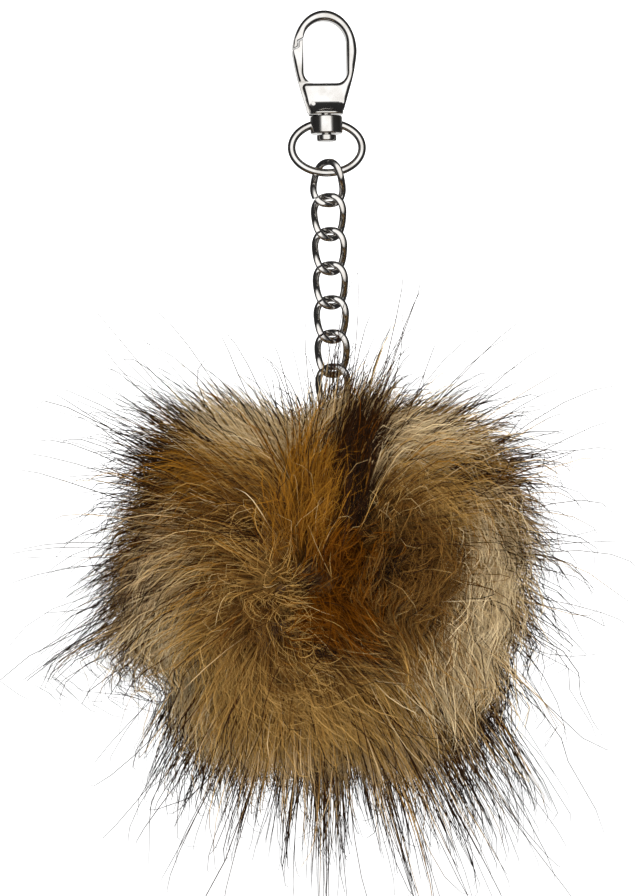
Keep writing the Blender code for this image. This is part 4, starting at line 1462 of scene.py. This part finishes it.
def growCoat(sort, locks):
    chance = np.random.default_rng(sort["seed"])
    count = sort["hairs"]
    steps = sort["rings"]
    direction = evenDirections(count, chance, hair["jitter"])
    nearest = np.array([locks["tree"].find(Vector(d))[1] for d in direction])
    long = chance.random(count) ** sort["fewLong"]
    reach = chance.uniform(*sort["reach"], count) * locks["reach"][nearest]
    travel = fromPile(direction[:, 2], "travel") * mm * chance.uniform(*sort["travel"], count)
    points = growHairs(direction, travel, reach, long, steps, chance, sort["messy"], sort["tufted"])
    # hairs gather towards the nearest lock, more so at their tips
    parts = np.linspace(0, 1, steps + 1)
    guides = locks["points"]
    middle = 1 - frontEdge(direction)[2] ** clumps["rimPower"]
    pull = sort["clump"] * chance.uniform(*clumps["pull"], count).clip(0, 1)
    pull = pull * (clumps["calm"] + (1 - clumps["calm"]) * middle)
    for number, part in enumerate(parts):
        guide = pointsAlong(guides, part)
        share = (pull * part ** clumps["tipPull"])[:, None]
        gathered = points[:, number] + (guide[nearest] - points[:, number]) * share
        # gathering moves a hair sideways, and leaves it as far out as it was
        out = np.linalg.norm(points[:, number] - ballCentre, axis=1, keepdims=True)
        points[:, number] = ballCentre + unit(gathered - ballCentre) * out
    wave = chance.normal(0, 1, (count, 3)) * sort["wave"]
    turn = chance.uniform(0, math.tau, count)
    for number, part in enumerate(parts):
        points[:, number] += wave * (np.sin(turn + part * hair["waveTurn"]) - np.sin(turn))[:, None] * part
    shown = pointsAlong(points, hair["shownAt"])
    tone = chooseTones(shown, points[:, -1], chance, sort["mixed"], sort["pale"])
    shared = (chance.random(count) < clumps["shareTone"]) & (tone != toneNumber["tipped"])
    tone = np.where(shared, locks["tone"][nearest], tone)
    # dark hairs stand at the rim and in the tufts more than in the middle
    rim = frontEdge(unit(points[:, -1] - ballCentre))[2] ** furForm["rimPower"]
    dark = chance.random(count) < sort["dark"] * np.maximum(rim, hair["middleDark"])
    tone = np.where(dark, toneNumber["sable"], tone)
    return points, tone, chance


def hairMesh(name, points, tone, width, chance, looks):
    # every hair is a closed three-sided spike
    count, rows = points.shape[:2]
    rings = rows - 1
    forward = np.empty_like(points)
    forward[:, 1:-1] = points[:, 2:] - points[:, :-2]
    forward[:, 0] = points[:, 1] - points[:, 0]
    forward[:, -1] = points[:, -1] - points[:, -2]
    forward = unit(forward)
    start = unit(chance.normal(0, 1, (count, 1, 3)))
    across = unit(start - (start * forward).sum(2, keepdims=True) * forward)
    beside = np.cross(forward, across)
    parts = np.linspace(0, 1, rows)
    thick = width / 2 * (1 - hair["thinning"] * parts ** hair["thinsLate"])
    own = chance.uniform(*hair["widths"], (count, 1, 1))
    corners = np.empty((count, rings, 3, 3))
    for side in range(3):
        angle = math.tau * side / 3
        arm = (across * math.cos(angle) + beside * math.sin(angle))[:, :rings]
        corners[:, :, side] = points[:, :rings] + arm * thick[:rings][None, :, None] * own
    perHair = rings * 3 + 1
    vertices = np.concatenate((corners.reshape(count, rings * 3, 3), points[:, -1:]), 1).reshape(-1, 3)
    # shaded as part of the soft coat more than as single wires
    ownFacing = unit(corners - points[:, :rings, None])
    facing = np.concatenate((ownFacing.reshape(count, rings * 3, 3), forward[:, -1:]), 1).reshape(-1, 3)
    shared = hair["coatShading"]
    facing = unit(facing * (1 - shared) + unit(vertices - ballCentre) * shared)
    # faces of one hair, repeated for all
    quads = []
    for ring in range(rings - 1):
        for side in range(3):
            after = (side + 1) % 3
            quads.append((ring * 3 + side, ring * 3 + after, ring * 3 + 3 + after, ring * 3 + 3 + side))
    last = (rings - 1) * 3
    triangles = [(last + side, last + (side + 1) % 3, rings * 3) for side in range(3)] + [(2, 1, 0)]
    base = (np.arange(count) * perHair)[:, None]
    quadLoops = np.array(quads).reshape(1, -1) + base
    triangleLoops = np.array(triangles).reshape(1, -1) + base
    loops = np.concatenate((quadLoops, triangleLoops), 1)
    sizes = np.array([4] * len(quads) + [3] * len(triangles))
    mesh = bpy.data.meshes.new(name)
    mesh.vertices.add(len(vertices))
    mesh.vertices.foreach_set("co", vertices.astype(np.float32).ravel())
    mesh.loops.add(loops.size)
    mesh.loops.foreach_set("vertex_index", loops.astype(np.int32).ravel())
    allSizes = np.tile(sizes, count)
    starts = np.concatenate(((0,), np.cumsum(allSizes)[:-1]))
    mesh.polygons.add(len(allSizes))
    mesh.polygons.foreach_set("loop_start", starts.astype(np.int32))
    mesh.polygons.foreach_set("material_index", np.repeat(tone, len(sizes)).astype(np.int32))
    mesh.update(calc_edges=True)
    # colour map: a narrow strip for each hair, inside its tone's band
    margin = hair["bandMargin"]
    middle = (tone + chance.uniform(margin, 1 - margin, count)) / len(toneNames)
    sideways = [-1, 1, 1, -1] * len(quads) + [-1, 1, 0] * len(triangles)
    along = []
    for low, high in zip(parts, parts[1:rings]):
        along += [low, low, high, high] * 3
    along += [parts[rings - 1], parts[rings - 1], 1.0] * 3 + [0.0, 0.0, 0.01]
    u = middle[:, None] + np.array(sideways)[None] * hair["stripHalf"]
    v = np.tile(hair["endMargin"] + (1 - 2 * hair["endMargin"]) * np.array(along), (count, 1))
    layer = mesh.uv_layers.new(name="OFBake")
    layer.data.foreach_set("uv", np.stack((u, v), 2).astype(np.float32).ravel())
    for look in looks:
        mesh.materials.append(look)
    mesh.shade_smooth()
    mesh.normals_split_custom_set_from_vertices(facing.astype(np.float32))
    made = bpy.data.objects.new(name, mesh)
    scene.collection.objects.link(made)
    return made


def makeLocks():
    # the locks that hairs gather into
    chance = np.random.default_rng(clumps["seed"])
    count = clumps["count"]
    direction = evenDirections(count, chance, clumps["jitter"])
    travel = fromPile(direction[:, 2], "travel") * mm * chance.uniform(*clumps["travel"], count)
    reach = np.ones(count)
    long = np.zeros(count)
    points = growHairs(direction, travel, reach, long, clumps["steps"], chance, clumps["messy"])
    shown = pointsAlong(points, hair["shownAt"])
    tree = KDTree(count)
    for number, root in enumerate(direction):
        tree.insert(Vector(root), number)
    tree.balance()
    return {
        "points": points,
        "tree": tree,
        "reach": chance.uniform(*clumps["reach"], count),
        "tone": chooseTones(shown, shown, chance, clumps["mixed"]),
    }


def makeFur():
    looks = [furTone(name) for name in toneNames]
    locks = makeLocks()
    for sort in coats:
        points, tone, hairChance = growCoat(sort, locks)
        order = np.argsort(points[:, 0, 1], kind="stable")      # front to back
        for number, chosen in enumerate(np.array_split(order, sort["pieces"]), 1):
            name = sort["name"] + (str(number) if sort["pieces"] > 1 else "")
            fur = hairMesh(name, points[chosen], tone[chosen], sort["width"], hairChance, looks)
            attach(fur, "pendant")
            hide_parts("pom_pom")
        say(f"{sort['name']}: {sort['hairs']} hairs")


say("camera and studio")
makeCamera()
makeStudio()
say("snap hook")
hookLook = nickelPlate("hookNickel")
makeHook(hookLook)
makeGate(hookLook)
makePin(hookLook)
makeRivet(hookLook)
say("ring and chain")
makeRing(nickelPlate("ringNickel"))
makeChain(nickelPlate("chainNickel", warm=0.03, rough=1.15))
say("ball and cord")
makeBall(backingCloth())
makeLoop(cordLook())
say("fur")
makeWool(woolLook())
makeFur()

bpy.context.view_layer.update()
say("done")
